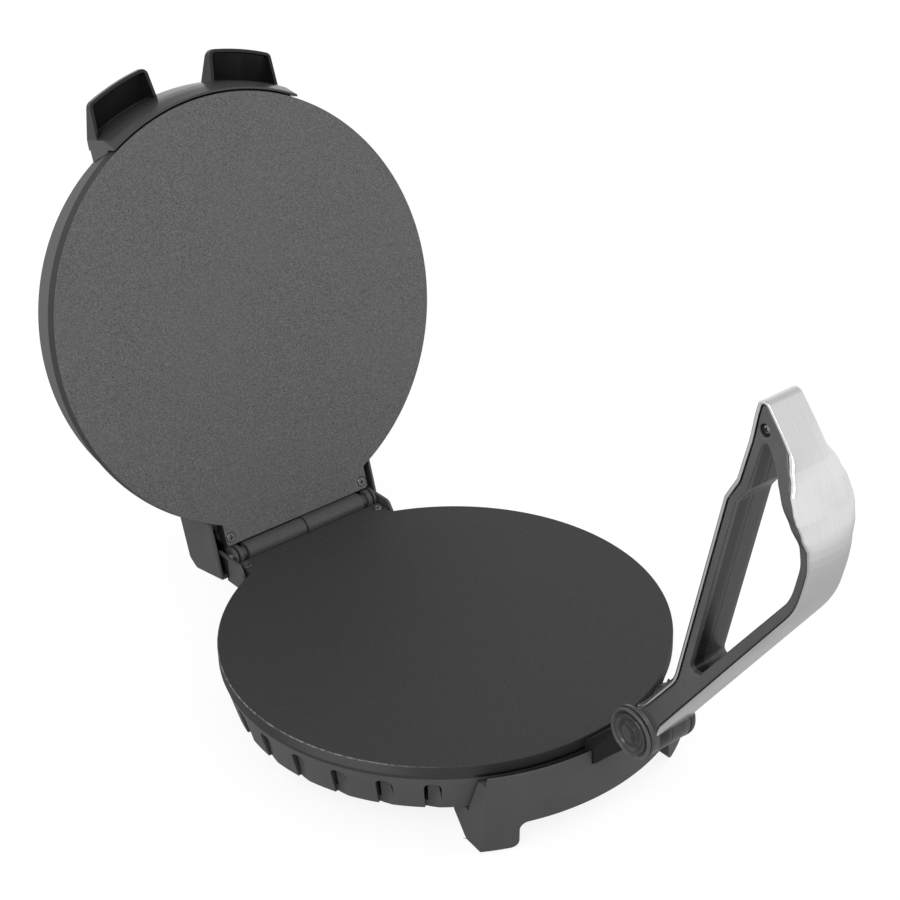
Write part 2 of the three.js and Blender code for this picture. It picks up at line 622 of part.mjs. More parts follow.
function terminalBlock() {
  const body = block([-BLOCK_LENGTH / 2, BLOCK_Y - BLOCK_WIDTH / 2, POST_BOTTOM],
    [BLOCK_LENGTH / 2, BLOCK_Y + BLOCK_WIDTH / 2, BLOCK_TOP]);
  const wells = [-1, 0, 1].map((step) => rod('z', BLOCK_WELL_RADIUS,
    BLOCK_TOP - BLOCK_WELL_DEPTH, BLOCK_TOP + CUT_OVERRUN,
    [step * BLOCK_WELL_PITCH, BLOCK_Y], 12));
  return cut(body, ...wells);
}

// Places spaced evenly round a circle, from a first angle
function around(count, first, make) {
  return Array.from({ length: count }, (_, index) => make(first + (index * 2 * Math.PI) / count));
}

function postCentre(angle) {
  return [POST_CIRCLE_RADIUS * Math.cos(angle), POST_CIRCLE_RADIUS * Math.sin(angle)];
}

// Angles of the vent recesses, measured from the front towards +X and mirrored
function notchAngles() {
  const side = Array.from({ length: NOTCH_PER_SIDE },
    (_, step) => NOTCH_FIRST_ANGLE + step * NOTCH_PITCH_ANGLE);
  return [...side, ...side.map((angle) => -angle)];
}

// Turns a shape drawn at the front of the casing to an angle round it
function swung(geometry, angle) {
  return solid(geometry.rotateZ(angle));
}

function frontBlock(halfWidth, innerRadius, outerRadius, bottom, top, offset = 0) {
  const geometry = new THREE.BoxGeometry(2 * halfWidth, outerRadius - innerRadius, top - bottom);
  return geometry.translate(offset, -(innerRadius + outerRadius) / 2, (top + bottom) / 2);
}

function baseShell() {
  const innerTop = SKIRT_TOP_RADIUS - SKIRT_WALL;
  const innerBottom = SKIRT_BOTTOM_RADIUS - SKIRT_WALL;
  let shell = turned([
    [innerBottom, SKIRT_BOTTOM],
    [SKIRT_BOTTOM_RADIUS, SKIRT_BOTTOM],
    [SKIRT_TOP_RADIUS, CASE_TOP],
    [LEDGE_RADIUS, CASE_TOP],
    [LEDGE_RADIUS, LEDGE_BOTTOM],
    [innerTop, LEDGE_BOTTOM],
  ]);
  const half = NOTCH_WIDTH / 2;
  const head = LEDGE_BOTTOM - NOTCH_HEAD / 2;
  const outer = SKIRT_TOP_RADIUS + CUT_OVERRUN;
  const foot = SKIRT_BOTTOM - CUT_OVERRUN;
  const outline = rounded([
    [-half, foot], [half, foot], [half, head, NOTCH_CORNER], [-half, head, NOTCH_CORNER],
  ], THREE.MathUtils.degToRad(30));
  notchAngles().forEach((angle) => {
    shell = shell.add(swung(frontBlock(half + NOTCH_WALL, NOTCH_FLOOR_RADIUS - NOTCH_WALL, innerTop,
      SKIRT_BOTTOM, LEDGE_BOTTOM), angle));
  });
  shell = shell.intersect(skirtPlug(0));
  notchAngles().forEach((angle) => {
    const recess = new THREE.ExtrudeGeometry(new THREE.Shape(outline), {
      depth: outer - NOTCH_FLOOR_RADIUS, bevelEnabled: false, steps: 1,
    }).rotateX(Math.PI / 2).translate(0, -NOTCH_FLOOR_RADIUS, 0);
    const slitTop = head - NOTCH_SLIT_HEAD;
    const slitX = half - NOTCH_SLIT_WIDTH / 2;
    const slits = [-slitX, slitX].map((x) => swung(frontBlock(NOTCH_SLIT_WIDTH / 2,
      NOTCH_FLOOR_RADIUS - NOTCH_WALL - CUT_OVERRUN, NOTCH_FLOOR_RADIUS + NOTCH_WALL,
      SKIRT_BOTTOM + NOTCH_SLIT_HEAD, slitTop, x), angle));
    shell = cut(shell, swung(recess, angle), ...slits);
  });
  const posts = around(POST_COUNT, Math.PI / POST_COUNT, (angle) => cut(
    rod('z', POST_RADIUS, POST_BOTTOM, LEDGE_BOTTOM + LEDGE_THICKNESS / 2, postCentre(angle)),
    rod('z', SCREW_HOLE_RADIUS, POST_BOTTOM - CUT_OVERRUN, POST_BOTTOM + COVER_SCREW_LENGTH,
      postCentre(angle), 10),
  ));
  const inletHole = rod('y', INLET_NECK_RADIUS + SEAT_GAP, LEDGE_RADIUS, outer, [0, -INLET_DROP]);
  return cut(join(shell, ...posts), inletHole);
}

function bottomCover() {
  const disc = turned([
    [0, COVER_UNDERSIDE],
    [BOTTOM_COVER_RADIUS, COVER_UNDERSIDE],
    [BOTTOM_COVER_RADIUS, COVER_UPSIDE],
    [0, COVER_UPSIDE],
  ], ROUND_LARGE);
  const screwHoles = around(POST_COUNT, Math.PI / POST_COUNT, (angle) => rod('z', SCREW_HOLE_RADIUS,
    COVER_UNDERSIDE - CUT_OVERRUN, COVER_UPSIDE + CUT_OVERRUN, postCentre(angle), 10));
  const vents = around(VENT_SLOT_COUNT, 0, (angle) => swung(frontBlock(VENT_SLOT_WIDTH / 2,
    VENT_CIRCLE_RADIUS - VENT_SLOT_LENGTH / 2, VENT_CIRCLE_RADIUS + VENT_SLOT_LENGTH / 2,
    COVER_UNDERSIDE - CUT_OVERRUN, COVER_UPSIDE + CUT_OVERRUN), angle));
  return cut(disc, ...screwHoles, ...vents);
}

// The two legs of the front bracket, as one pair of blocks below it
function legPair() {
  const front = rounded([
    [-LEG_OUTER_X, -LEG_DEPTH],
    [-LEG_INNER_X, -LEG_DEPTH, LEG_CORNER],
    [-LEG_INNER_X, SKIRT_BOTTOM - SEAT_GAP],
    [-LEG_OUTER_X, SKIRT_BOTTOM - SEAT_GAP],
  ]);
  const side = [
    [-BRACKET_RADIUS, -LEG_DEPTH],
    [-LEG_BACK_BOTTOM - LEG_HEEL, -LEG_DEPTH],
    [-LEG_BACK_BOTTOM, -LEG_DEPTH + LEG_HEEL],
    [-LEG_BACK_TOP, SKIRT_BOTTOM - SEAT_GAP],
    [-BRACKET_RADIUS, SKIRT_BOTTOM - SEAT_GAP],
  ];
  const mirrored = front.map((point) => new THREE.Vector2(-point.x, point.y)).reverse();
  const span = [-BRACKET_RADIUS, BRACKET_RADIUS];
  return [front, mirrored].map((outline) => pushed('xz', outline, ...span)
    .intersect(pushed('yz', side, ...span)));
}

// Slabs that trim the bracket's two sides to a slightly turned and drafted plane
function sideTrims() {
  return [-1, 1].map((hand) => {
    const slab = new THREE.BoxGeometry(BRACKET_RADIUS, 2 * BRACKET_RADIUS, 2 * BRACKET_RADIUS);
    slab.translate(hand * BRACKET_RADIUS / 2, 0, 0);
    slab.rotateY(-hand * BRACKET_DRAFT_ANGLE);
    slab.rotateZ(hand * BRACKET_SIDE_ANGLE);
    slab.translate(hand * BRACKET_SIDE_X, -BRACKET_SIDE_Y, 0);
    return solid(slab);
  });
}

// What a bracket has in common front and rear: legs, side faces, foot sockets and an open underside
function legged(body) {
  const undercut = block(
    [-BRACKET_POCKET_OUTER_X, -LEDGE_RADIUS - BRACKET_UNDERCUT_REACH, -BRACKET_BOTTOM - CUT_OVERRUN],
    [BRACKET_POCKET_OUTER_X, -LEDGE_RADIUS + CUT_OVERRUN, SKIRT_BOTTOM],
  );
  const round = turned([[0, -LEG_DEPTH], [BRACKET_RADIUS, -LEG_DEPTH], [BRACKET_RADIUS, LEG_DEPTH],
    [0, LEG_DEPTH]]);
  const sockets = [-FOOT_X, FOOT_X].map((x) => rod('z', FOOT_RADIUS + SEAT_GAP, -LEG_DEPTH - CUT_OVERRUN,
    FLOOR + FOOT_HEIGHT + SEAT_GAP, [x, -FOOT_Y]));
  return cut(join(cut(body, undercut), ...legPair()).intersect(round), ...sideTrims(), ...sockets);
}

function frontBracket() {
  const rimInner = PLATE_RADIUS + BRACKET_RIM_GAP;
  const ring = turned([
    [LEDGE_RADIUS, -BRACKET_BOTTOM],
    [BRACKET_RADIUS, -BRACKET_BOTTOM],
    [BRACKET_RADIUS, -BRACKET_TOP],
    [rimInner, -BRACKET_TOP],
    [rimInner, CASE_TOP],
    [LEDGE_RADIUS, CASE_TOP],
  ]);
  const sector = block([-LEG_OUTER_X, -BRACKET_RADIUS - CUT_OVERRUN, -LEG_DEPTH],
    [LEG_OUTER_X, -LEDGE_RADIUS, 0]);
  let body = cut(ring.intersect(sector), skirtPlug(SEAT_GAP));
  const hollow = cut(turned([
    [LEDGE_RADIUS, -BRACKET_BOTTOM - CUT_OVERRUN],
    [BRACKET_RADIUS - BRACKET_WALL, -BRACKET_BOTTOM - CUT_OVERRUN],
    [BRACKET_RADIUS - BRACKET_WALL, -BRACKET_TOP - BRACKET_WALL],
    [rimInner + BRACKET_WALL / 2, -BRACKET_TOP - BRACKET_WALL],
    [LEDGE_RADIUS, CASE_TOP - BRACKET_WALL],
  ]), skirtPlug(SEAT_GAP + BRACKET_WALL));
  [-1, 1].forEach((hand) => {
    const near = hand * BRACKET_POCKET_INNER_X;
    const far = hand * BRACKET_POCKET_OUTER_X;
    const range = block([Math.min(near, far), -BRACKET_RADIUS, -BRACKET_BOTTOM - CUT_OVERRUN],
      [Math.max(near, far), -LEDGE_RADIUS - CUT_OVERRUN, 0]);
    body = body.subtract(hollow.intersect(range));
  });
  const socketHalf = ARM_HALF_WIDTH + SEAT_GAP;
  const armSocket = block([-socketHalf, -BRACKET_RADIUS - CUT_OVERRUN, -ARM_ROOT_BOTTOM - SEAT_GAP],
    [socketHalf, -ARM_ROOT_INNER + SEAT_GAP, CUT_OVERRUN]);
  const screwWells = [-ARM_SCREW_X, ARM_SCREW_X].flatMap((x) => [
    rod('z', ARM_SCREW_WELL_RADIUS, -BRACKET_BOTTOM - CUT_OVERRUN, -ARM_SCREW_SEAT_DROP, [x, -ARM_SCREW_Y]),
    rod('z', SCREW_HOLE_RADIUS, -ARM_SCREW_SEAT_DROP - CUT_OVERRUN, 0, [x, -ARM_SCREW_Y], 12),
  ]);
  return cut(legged(body), armSocket, ...screwWells);
}

// The rear bracket is drawn at the front and turned to the back; its ears are drawn in place
function rearBracket() {
  const low = turned([
    [LEDGE_RADIUS, -BRACKET_BOTTOM],
    [BRACKET_RADIUS, -BRACKET_BOTTOM],
    [BRACKET_RADIUS, -REAR_BRACKET_TOP],
    [LEDGE_RADIUS, -REAR_BRACKET_TOP],
  ]).intersect(block([-LEG_OUTER_X, -BRACKET_RADIUS, -LEG_DEPTH], [LEG_OUTER_X, -LEDGE_RADIUS, 0]));
  const legs = legged(low);
  const turnedLegs = solid(geometryOf(legs).rotateZ(Math.PI));
  const wall = turned([
    [LEDGE_RADIUS, -BRACKET_BOTTOM],
    [REAR_WALL_RADIUS, -BRACKET_BOTTOM],
    [REAR_WALL_RADIUS, CASE_TOP],
    [LEDGE_RADIUS, CASE_TOP],
  ]).intersect(block([-EAR_X, EAR_FRONT - EAR_BROW, SKIRT_BOTTOM], [EAR_X, BRACKET_RADIUS, CASE_TOP]));
  const beam = block([-EAR_INNER_X, EAR_FRONT, -EAR_BOTTOM], [EAR_INNER_X, REAR_WALL_RADIUS, CASE_TOP]);
  const earOutline = rounded([
    [EAR_FRONT, -EAR_BOTTOM],
    [HINGE_REACH, -EAR_BOTTOM, EAR_CORNER],
    [HINGE_REACH + EAR_BACK_RADIUS, -EAR_TAIL_HEIGHT, EAR_BROW_CORNER],
    [HINGE_REACH + EAR_CREST_REACH, EAR_TOP, EAR_CORNER],
    [EAR_FRONT + EAR_BROW, EAR_TOP, EAR_BROW_CORNER],
    [EAR_FRONT, -EAR_BROW],
  ]);
  const backRound = rod('x', EAR_BACK_RADIUS, -EAR_X, EAR_X, [HINGE_REACH, HINGE_HEIGHT], ROUND_MEDIUM);
  const frontOfHinge = block([-EAR_X, 0, -LEG_DEPTH], [EAR_X, HINGE_REACH, LEG_DEPTH]);
  const earSpans = [[-EAR_X, -EAR_INNER_X], [EAR_INNER_X, EAR_X]];
  const ears = earSpans.map(([from, to]) => pushed('yz', earOutline, from, to)
    .intersect(join(backRound, frontOfHinge)));
  const screwHoles = [-TAB_SCREW_X, TAB_SCREW_X].map((x) => rod('z', SCREW_HOLE_RADIUS,
    -EAR_BOTTOM - CUT_OVERRUN, 0, [x, TAB_SCREW_Y], 12));
  const inletHole = rod('y', INLET_NECK_RADIUS + SEAT_GAP, LEDGE_RADIUS, BRACKET_RADIUS + CUT_OVERRUN,
    [0, -INLET_DROP]);
  return cut(join(turnedLegs, wall, beam, ...ears), skirtPlug(SEAT_GAP), ...screwHoles, inletHole);
}

function rubberFoot() {
  const chamfer = FOOT_STAND / 2;
  return turned([
    [0, 0],
    [FOOT_RADIUS - chamfer, 0],
    [FOOT_RADIUS, chamfer],
    [FOOT_RADIUS, FOOT_HEIGHT],
    [0, FOOT_HEIGHT],
  ], ROUND_SMALL);
}

// A grommet through the skirt and the rear bracket, its flange outside
function cordInlet() {
  const flangeStart = REAR_WALL_RADIUS + SEAT_GAP;
  const inside = SKIRT_BOTTOM_RADIUS - SKIRT_WALL;
  const height = -INLET_DROP;
  return cut(
    join(
      rod('y', INLET_NECK_RADIUS, inside, flangeStart + INLET_FLANGE_THICKNESS, [0, height]),
      rod('y', INLET_FLANGE_RADIUS, flangeStart, flangeStart + INLET_FLANGE_THICKNESS, [0, height]),
    ),
    rod('y', INLET_BORE_RADIUS, inside - CUT_OVERRUN, flangeStart + INLET_FLANGE_THICKNESS + CUT_OVERRUN,
      [0, height]),
  );
}

// The arm rises at half a right angle from the bracket's socket to the lever's pivot
function pivotArm() {
  const lowerSum = -PIVOT_REACH + PIVOT_HEIGHT - ARM_SLANT;
  const along = ARM_HALF_THICKNESS / Math.SQRT2;
  const outline = [
    [-ARM_ROOT_INNER, -ARM_ROOT_BOTTOM],
    [-ARM_ROOT_INNER, -ARM_SHOULDER_DROP],
    [-PIVOT_REACH + along, PIVOT_HEIGHT + along],
    [-PIVOT_REACH - along, PIVOT_HEIGHT - along],
    [lowerSum + ARM_ROOT_BOTTOM, -ARM_ROOT_BOTTOM],
  ].reverse();
  const pivot = [-PIVOT_REACH, PIVOT_HEIGHT];
  const arm = join(
    pushed('yz', outline, -ARM_HALF_WIDTH, ARM_HALF_WIDTH),
    rod('x', ARM_KNUCKLE_RADIUS, -ARM_HALF_WIDTH, ARM_HALF_WIDTH, pivot, ROUND_MEDIUM),
  );
  const bore = rod('x', PIVOT_PIN_RADIUS + RUNNING_GAP, -BARREL_HALF_WIDTH, BARREL_HALF_WIDTH, pivot);
  const screwHoles = [-ARM_SCREW_X, ARM_SCREW_X].map((x) => rod('z', SCREW_HOLE_RADIUS,
    -ARM_ROOT_BOTTOM - CUT_OVERRUN, ARM_SCREW_LENGTH - ARM_SCREW_SEAT_DROP, [x, -ARM_SCREW_Y], 12));
  return cut(arm, bore, ...screwHoles);
}

// Lever outlines, drawn closed: first axis along the lever, second axis away from the plates. Each corner
// is a share of the lever's length, a share of its depth, and a radius as shares of the length and the depth.
const outer_corner_shares = [
  [0.225, 0.181, 0.0887, 0],
  [0.745, 0.181, 0.0399, 0],
  [0.802, 0.235, 0.0399, 0],
  [1.000, 0.235, 0, 0.037],
  [1.000, 0.325, 0, 0.0427],
  [0.982, 0.392, 0, 0.0712],
  [0.907, 0.709, 0.2128, 0],
  [0.786, 1.000, 0.2482, 0],
  [0.624, 1.000, 0.2216, 0],
];
const loop_corner_shares = [
  [0.276, 0.292, 0, 0.0427],
  [0.749, 0.288, 0.0222, 0],
  [0.791, 0.350, 0.0222, 0],
  [0.921, 0.350, 0, 0.0356],
  [0.887, 0.577, 0.0532, 0],
  [0.754, 0.893, 0.1241, 0],
  [0.641, 0.893, 0.133, 0],
  [0.285, 0.388, 0, 0.0427],
];

// Where the outer outline starts and ends inside the barrel, as shares of the barrel's radius
const root_start_shares = [0.432, -0.523];
const root_end_shares = [0.432, 0.891];

function leverOutline(shares, root = []) {
  const corners = shares.map(([along, away, roundAlong, roundAway]) => [
    along * LEVER_LENGTH, away * LEVER_DEPTH, roundAlong * LEVER_LENGTH + roundAway * LEVER_DEPTH]);
  const rootCorners = root.map(([along, away]) => [along * BARREL_RADIUS, away * BARREL_RADIUS]);
  return rounded([...corners, ...rootCorners]);
}

// Half-widths of the lever: a plain body that narrows to the tip, and a thumb pad on the outer member
const body_width_shares = [[-0.1, 0], [0.78, 0], [0.92, 0.8], [1.02, 1]];
const pad_width_shares = [
  [0.72, 0], [0.77, 0.2], [0.81, 0.74], [0.845, 1], [0.875, 0.88],
  [0.905, 0.34], [0.935, -0.16], [0.965, -0.3], [1.02, -0.42],
];

function widthOutline(stations) {
  const right = stations.map(([along, width]) => new THREE.Vector2(width, along));
  const left = stations.map(([along, width]) => new THREE.Vector2(-width, along)).reverse();
  return [...right, ...left];
}

// Everything within the lever's widths, each grown by an overhang
function leverWidths(overhang) {
  const top = LEVER_DEPTH + CUT_OVERRUN;
  const body = widthOutline(body_width_shares.map(([along, share]) => [
    along * LEVER_LENGTH, BODY_HALF_WIDTH + overhang - share * (BODY_HALF_WIDTH - TIP_HALF_WIDTH)]));
  const curve = new THREE.SplineCurve(pad_width_shares.map(([along, share]) => new THREE.Vector2(
    along * LEVER_LENGTH, BODY_HALF_WIDTH + overhang + share * (PAD_HALF_WIDTH - BODY_HALF_WIDTH))));
  const pad = widthOutline(curve.getPoints(28).map((point) => [point.x, point.y]));
  const padFloor = LEVER_DEPTH * PAD_FLOOR_SHARE;
  return join(
    pushed('xy', body, -BARREL_RADIUS, top),
    pushed('xy', pad, padFloor, top),
  );
}

const leverShape = leverOutline(outer_corner_shares, [root_end_shares, root_start_shares]);
const loopShape = leverOutline(loop_corner_shares);

// The opening in the barrel through which the arm reaches the pivot, over the lever's whole travel
function leverSlot() {
  const reach = BARREL_RADIUS + CUT_OVERRUN;
  const half = ARM_HALF_WIDTH + SEAT_GAP;
  const strip = ARM_HALF_THICKNESS + ARM_STOP_GAP;
  const ends = [ARM_DIRECTION - LEVER_OPEN_ANGLE, ARM_DIRECTION];
  const steps = 8;
  const wedge = [new THREE.Vector2(0, 0)];
  for (let step = 0; step <= steps; step += 1) {
    const angle = ends[0] + ((ends[1] - ends[0]) * step) / steps;
    wedge.push(new THREE.Vector2(Math.cos(angle), Math.sin(angle)).multiplyScalar(reach));
  }
  const strips = ends.map((angle) => {
    const box = new THREE.BoxGeometry(2 * half, reach, 2 * strip);
    return solid(box.translate(0, reach / 2, 0).rotateX(angle));
  });
  return join(
    pushed('yz', wedge, -half, half),
    rod('x', ARM_KNUCKLE_RADIUS + SEAT_GAP, -half, half, [0, 0], ROUND_MEDIUM),
    ...strips,
  );
}

// The lever's two moulded halves meet at the middle plane
function leverHalf(hand) {
  const span = PAD_HALF_WIDTH + CUT_OVERRUN;
  const bodyOutline = inset(leverShape, BAND_THICKNESS + SEAT_GAP);
  const body = cut(pushed('yz', bodyOutline, -span, span), pushed('yz', loopShape, -span, span))
    .intersect(leverWidths(0));
  const barrel = rod('x', BARREL_RADIUS, -BARREL_HALF_WIDTH, BARREL_HALF_WIDTH, [0, 0], ROUND_MEDIUM);
  const dishes = [-1, 1].map((side) => {
    const outer = side * (BARREL_HALF_WIDTH + CUT_OVERRUN);
    const inner = side * (BARREL_HALF_WIDTH - BARREL_DISH_DEPTH);
    return rod('x', BARREL_RADIUS - BARREL_RIM, Math.min(outer, inner), Math.max(outer, inner),
      [0, 0], ROUND_MEDIUM);
  });
  const bore = rod('x', PIVOT_PIN_RADIUS + RUNNING_GAP, -span, span);
  const screwAt = tipScrewPlace();
  const well = rod('x', TIP_SCREW_WELL_RADIUS, -span, -TIP_HALF_WIDTH + TIP_SCREW_WELL_DEPTH, screwAt);
  const screwHole = rod('x', SCREW_HOLE_RADIUS, -span, TIP_HALF_WIDTH - TIP_SCREW_END_WALL, screwAt, 12);
  const whole = cut(join(body, barrel), leverSlot(), bore, ...dishes, well, screwHole);
  const seam = SEAM_GAP / 2;
  const side = hand < 0
    ? block([-span, -span, -span], [-seam, LEVER_LENGTH + span, LEVER_DEPTH + span])
    : block([seam, -span, -span], [span, LEVER_LENGTH + span, LEVER_DEPTH + span]);
  return whole.intersect(side);
}

function tipScrewPlace() {
  return [LEVER_LENGTH * TIP_SCREW_LENGTH_SHARE, LEVER_DEPTH * TIP_SCREW_DEPTH_SHARE];
}

// The bright band wraps the lever from the barrel round the tip and back
function leverBand() {
  const span = PAD_HALF_WIDTH + CUT_OVERRUN;
  const band = cut(pushed('yz', leverShape, -span, span),
    pushed('yz', inset(leverShape, BAND_THICKNESS), -span, span));
  return cut(band.intersect(leverWidths(BAND_OVERHANG)),
    rod('x', BARREL_RADIUS + BAND_ROOT_GAP, -span, span, [0, 0], ROUND_MEDIUM));
}

// A round cap in the barrel's dish, drawn facing up
function pivotCap() {
  const edge = CAP_DISH_DEPTH / 2;
  return turned([
    [0, 0],
    [CAP_RADIUS, 0],
    [CAP_RADIUS, CAP_HEIGHT - edge],
    [CAP_RADIUS - edge, CAP_HEIGHT],
    [CAP_DISH_RADIUS, CAP_HEIGHT],
    [CAP_DISH_RADIUS - edge, CAP_HEIGHT - CAP_DISH_DEPTH],
    [CAP_DIMPLE_RADIUS, CAP_HEIGHT - CAP_DISH_DEPTH],
    [0, CAP_HEIGHT - CAP_DISH_DEPTH + edge],
  ], ROUND_MEDIUM);
}

// The lid's casing: the base's skirt turned over, with a low domed top
function lidShell() {
  const shoulder = SKIRT_BOTTOM_RADIUS - LID_SHOULDER_RADIUS;
  const top = SKIRT_BOTTOM - LID_TOP_RISE;
  const outer = [[SKIRT_TOP_RADIUS, CASE_TOP], [SKIRT_BOTTOM_RADIUS, SKIRT_BOTTOM]];
  const inner = [[SKIRT_TOP_RADIUS - SKIRT_WALL, LEDGE_BOTTOM],
    [SKIRT_BOTTOM_RADIUS - SKIRT_WALL, SKIRT_BOTTOM]];
  const rise = LID_TOP_RISE - LEDGE_THICKNESS / 2;
  const steps = 4;
  for (let step = 1; step <= steps; step += 1) {
    const angle = (Math.PI / 2 * step) / steps;
    const radius = shoulder + LID_SHOULDER_RADIUS * Math.cos(angle);
    outer.push([radius, SKIRT_BOTTOM - rise * Math.sin(angle)]);
    inner.push([radius - SKIRT_WALL, SKIRT_BOTTOM - (rise - LID_TOP_WALL) * Math.sin(angle)]);
  }
  return turned([
    [0, top], ...outer.reverse(), [LEDGE_RADIUS, CASE_TOP], [LEDGE_RADIUS, LEDGE_BOTTOM], ...inner,
    [0, top + LID_TOP_WALL],
  ]);
}

// Moves a shape drawn for the base into the closed lid, by turning it over
function turnedOver(mesh) {
  mesh.rotation.y = Math.PI;
  mesh.position.z = CLOSED_GAP;
  return mesh;
}

// The skirt's plug turned over for what stands against the lid's casing
function lidPlug(gap) {
  return solid(geometryOf(skirtPlug(gap)).rotateY(Math.PI).translate(0, 0, CLOSED_GAP));
}

function gripOutline(wall) {
  const tip = Math.sqrt(GRIP_RADIUS ** 2 - GRIP_INNER_TIP_X ** 2);
  const sideTip = Math.sqrt(GRIP_RADIUS ** 2 - GRIP_OUTER_TIP_X ** 2);
  const trim = GRIP_ARC_TRIM / GRIP_RADIUS;
  const start = Math.atan2(-tip, GRIP_INNER_TIP_X) + trim;
  const end = Math.atan2(-sideTip, GRIP_OUTER_TIP_X) - trim;
  const steps = 8;
  const arc = Array.from({ length: steps + 1 }, (_, step) => {
    const angle = start + ((end - start) * step) / steps;
    return new THREE.Vector2(Math.cos(angle), Math.sin(angle)).multiplyScalar(GRIP_RADIUS);
  });
  const outline = [
    new THREE.Vector2(GRIP_INNER_ROOT_X, -GRIP_ROOT_Y),
    new THREE.Vector2(GRIP_INNER_TIP_X - GRIP_SIDE_SLOPE, -tip + GRIP_CORNER),
    ...arc,
    new THREE.Vector2(GRIP_OUTER_TIP_X, -sideTip + GRIP_CORNER),
    new THREE.Vector2(COLLAR_END_X, -GRIP_OUTER_ROOT_Y),
  ];
  return wall === 0 ? outline : inset(outline, wall);
}

function mirroredX(outline) {
  return outline.map((point) => new THREE.Vector2(-point.x, point.y)).reverse();
}

// The collar round the front of the lid; each end bulges into a hollow finger grip, open below
function lidCollar() {
  const lipInner = PLATE_RADIUS + BRACKET_RIM_GAP;
  const lipTop = CLOSED_GAP + PLATE_THICKNESS;
  const bottom = CLOSED_GAP;
  const ring = turned([
    [lipInner, bottom],
    [COLLAR_LIP_RADIUS, bottom],
    [COLLAR_RADIUS, bottom + COLLAR_FLARE_HEIGHT],
    [COLLAR_RADIUS, COLLAR_TOP - COLLAR_TOP_CHAMFER],
    [COLLAR_RADIUS - COLLAR_TOP_CHAMFER, COLLAR_TOP],
    [LEDGE_RADIUS, COLLAR_TOP],
    [LEDGE_RADIUS, lipTop + SEAT_GAP],
    [lipInner, lipTop + SEAT_GAP],
  ]);
  const sector = block([-COLLAR_END_X, -BRACKET_RADIUS, 0], [COLLAR_END_X, -LEDGE_RADIUS, COLLAR_TOP]);
  const collar = cut(ring.intersect(sector), lidPlug(SEAT_GAP));
  const wedge = turned([
    [GRIP_SEAT_RADIUS, GRIP_RIM_HEIGHT],
    [GRIP_RADIUS + CUT_OVERRUN, GRIP_RIM_HEIGHT],
    [GRIP_RADIUS + CUT_OVERRUN, GRIP_TIP_TOP],
    [GRIP_RADIUS, GRIP_TIP_TOP],
    [COLLAR_RADIUS, GRIP_ROOT_TOP],
    [GRIP_SEAT_RADIUS, GRIP_ROOT_TOP],
  ]);
  const room = turned([
    [COLLAR_RADIUS, GRIP_RIM_HEIGHT - CUT_OVERRUN],
    [GRIP_RADIUS + CUT_OVERRUN, GRIP_RIM_HEIGHT - CUT_OVERRUN],
    [GRIP_RADIUS + CUT_OVERRUN, GRIP_TIP_TOP - GRIP_WALL],
    [GRIP_RADIUS, GRIP_TIP_TOP - GRIP_WALL],
    [COLLAR_RADIUS, GRIP_ROOT_TOP - GRIP_WALL],
  ]);
  const grips = [(outline) => outline, mirroredX].map((place) => cut(
    pushed('xy', place(gripOutline(0)), 0, GRIP_ROOT_TOP + CUT_OVERRUN).intersect(wedge),
    pushed('xy', place(gripOutline(GRIP_WALL)), 0, GRIP_ROOT_TOP + CUT_OVERRUN).intersect(room),
  ));
  return join(collar, ...grips);
}

function hingeCoverOutline() {
  return rounded([
    [COVER_FRONT, COVER_BOTTOM],
    [COVER_BACK, COVER_BOTTOM],
    [COVER_SHOULDER_BACK, COVER_SHOULDER_TOP, COVER_CORNER],
    [COVER_SHOULDER_Y, COVER_TOP, COVER_CORNER],
    [COVER_FRONT, COVER_TOP],
  ]);
}

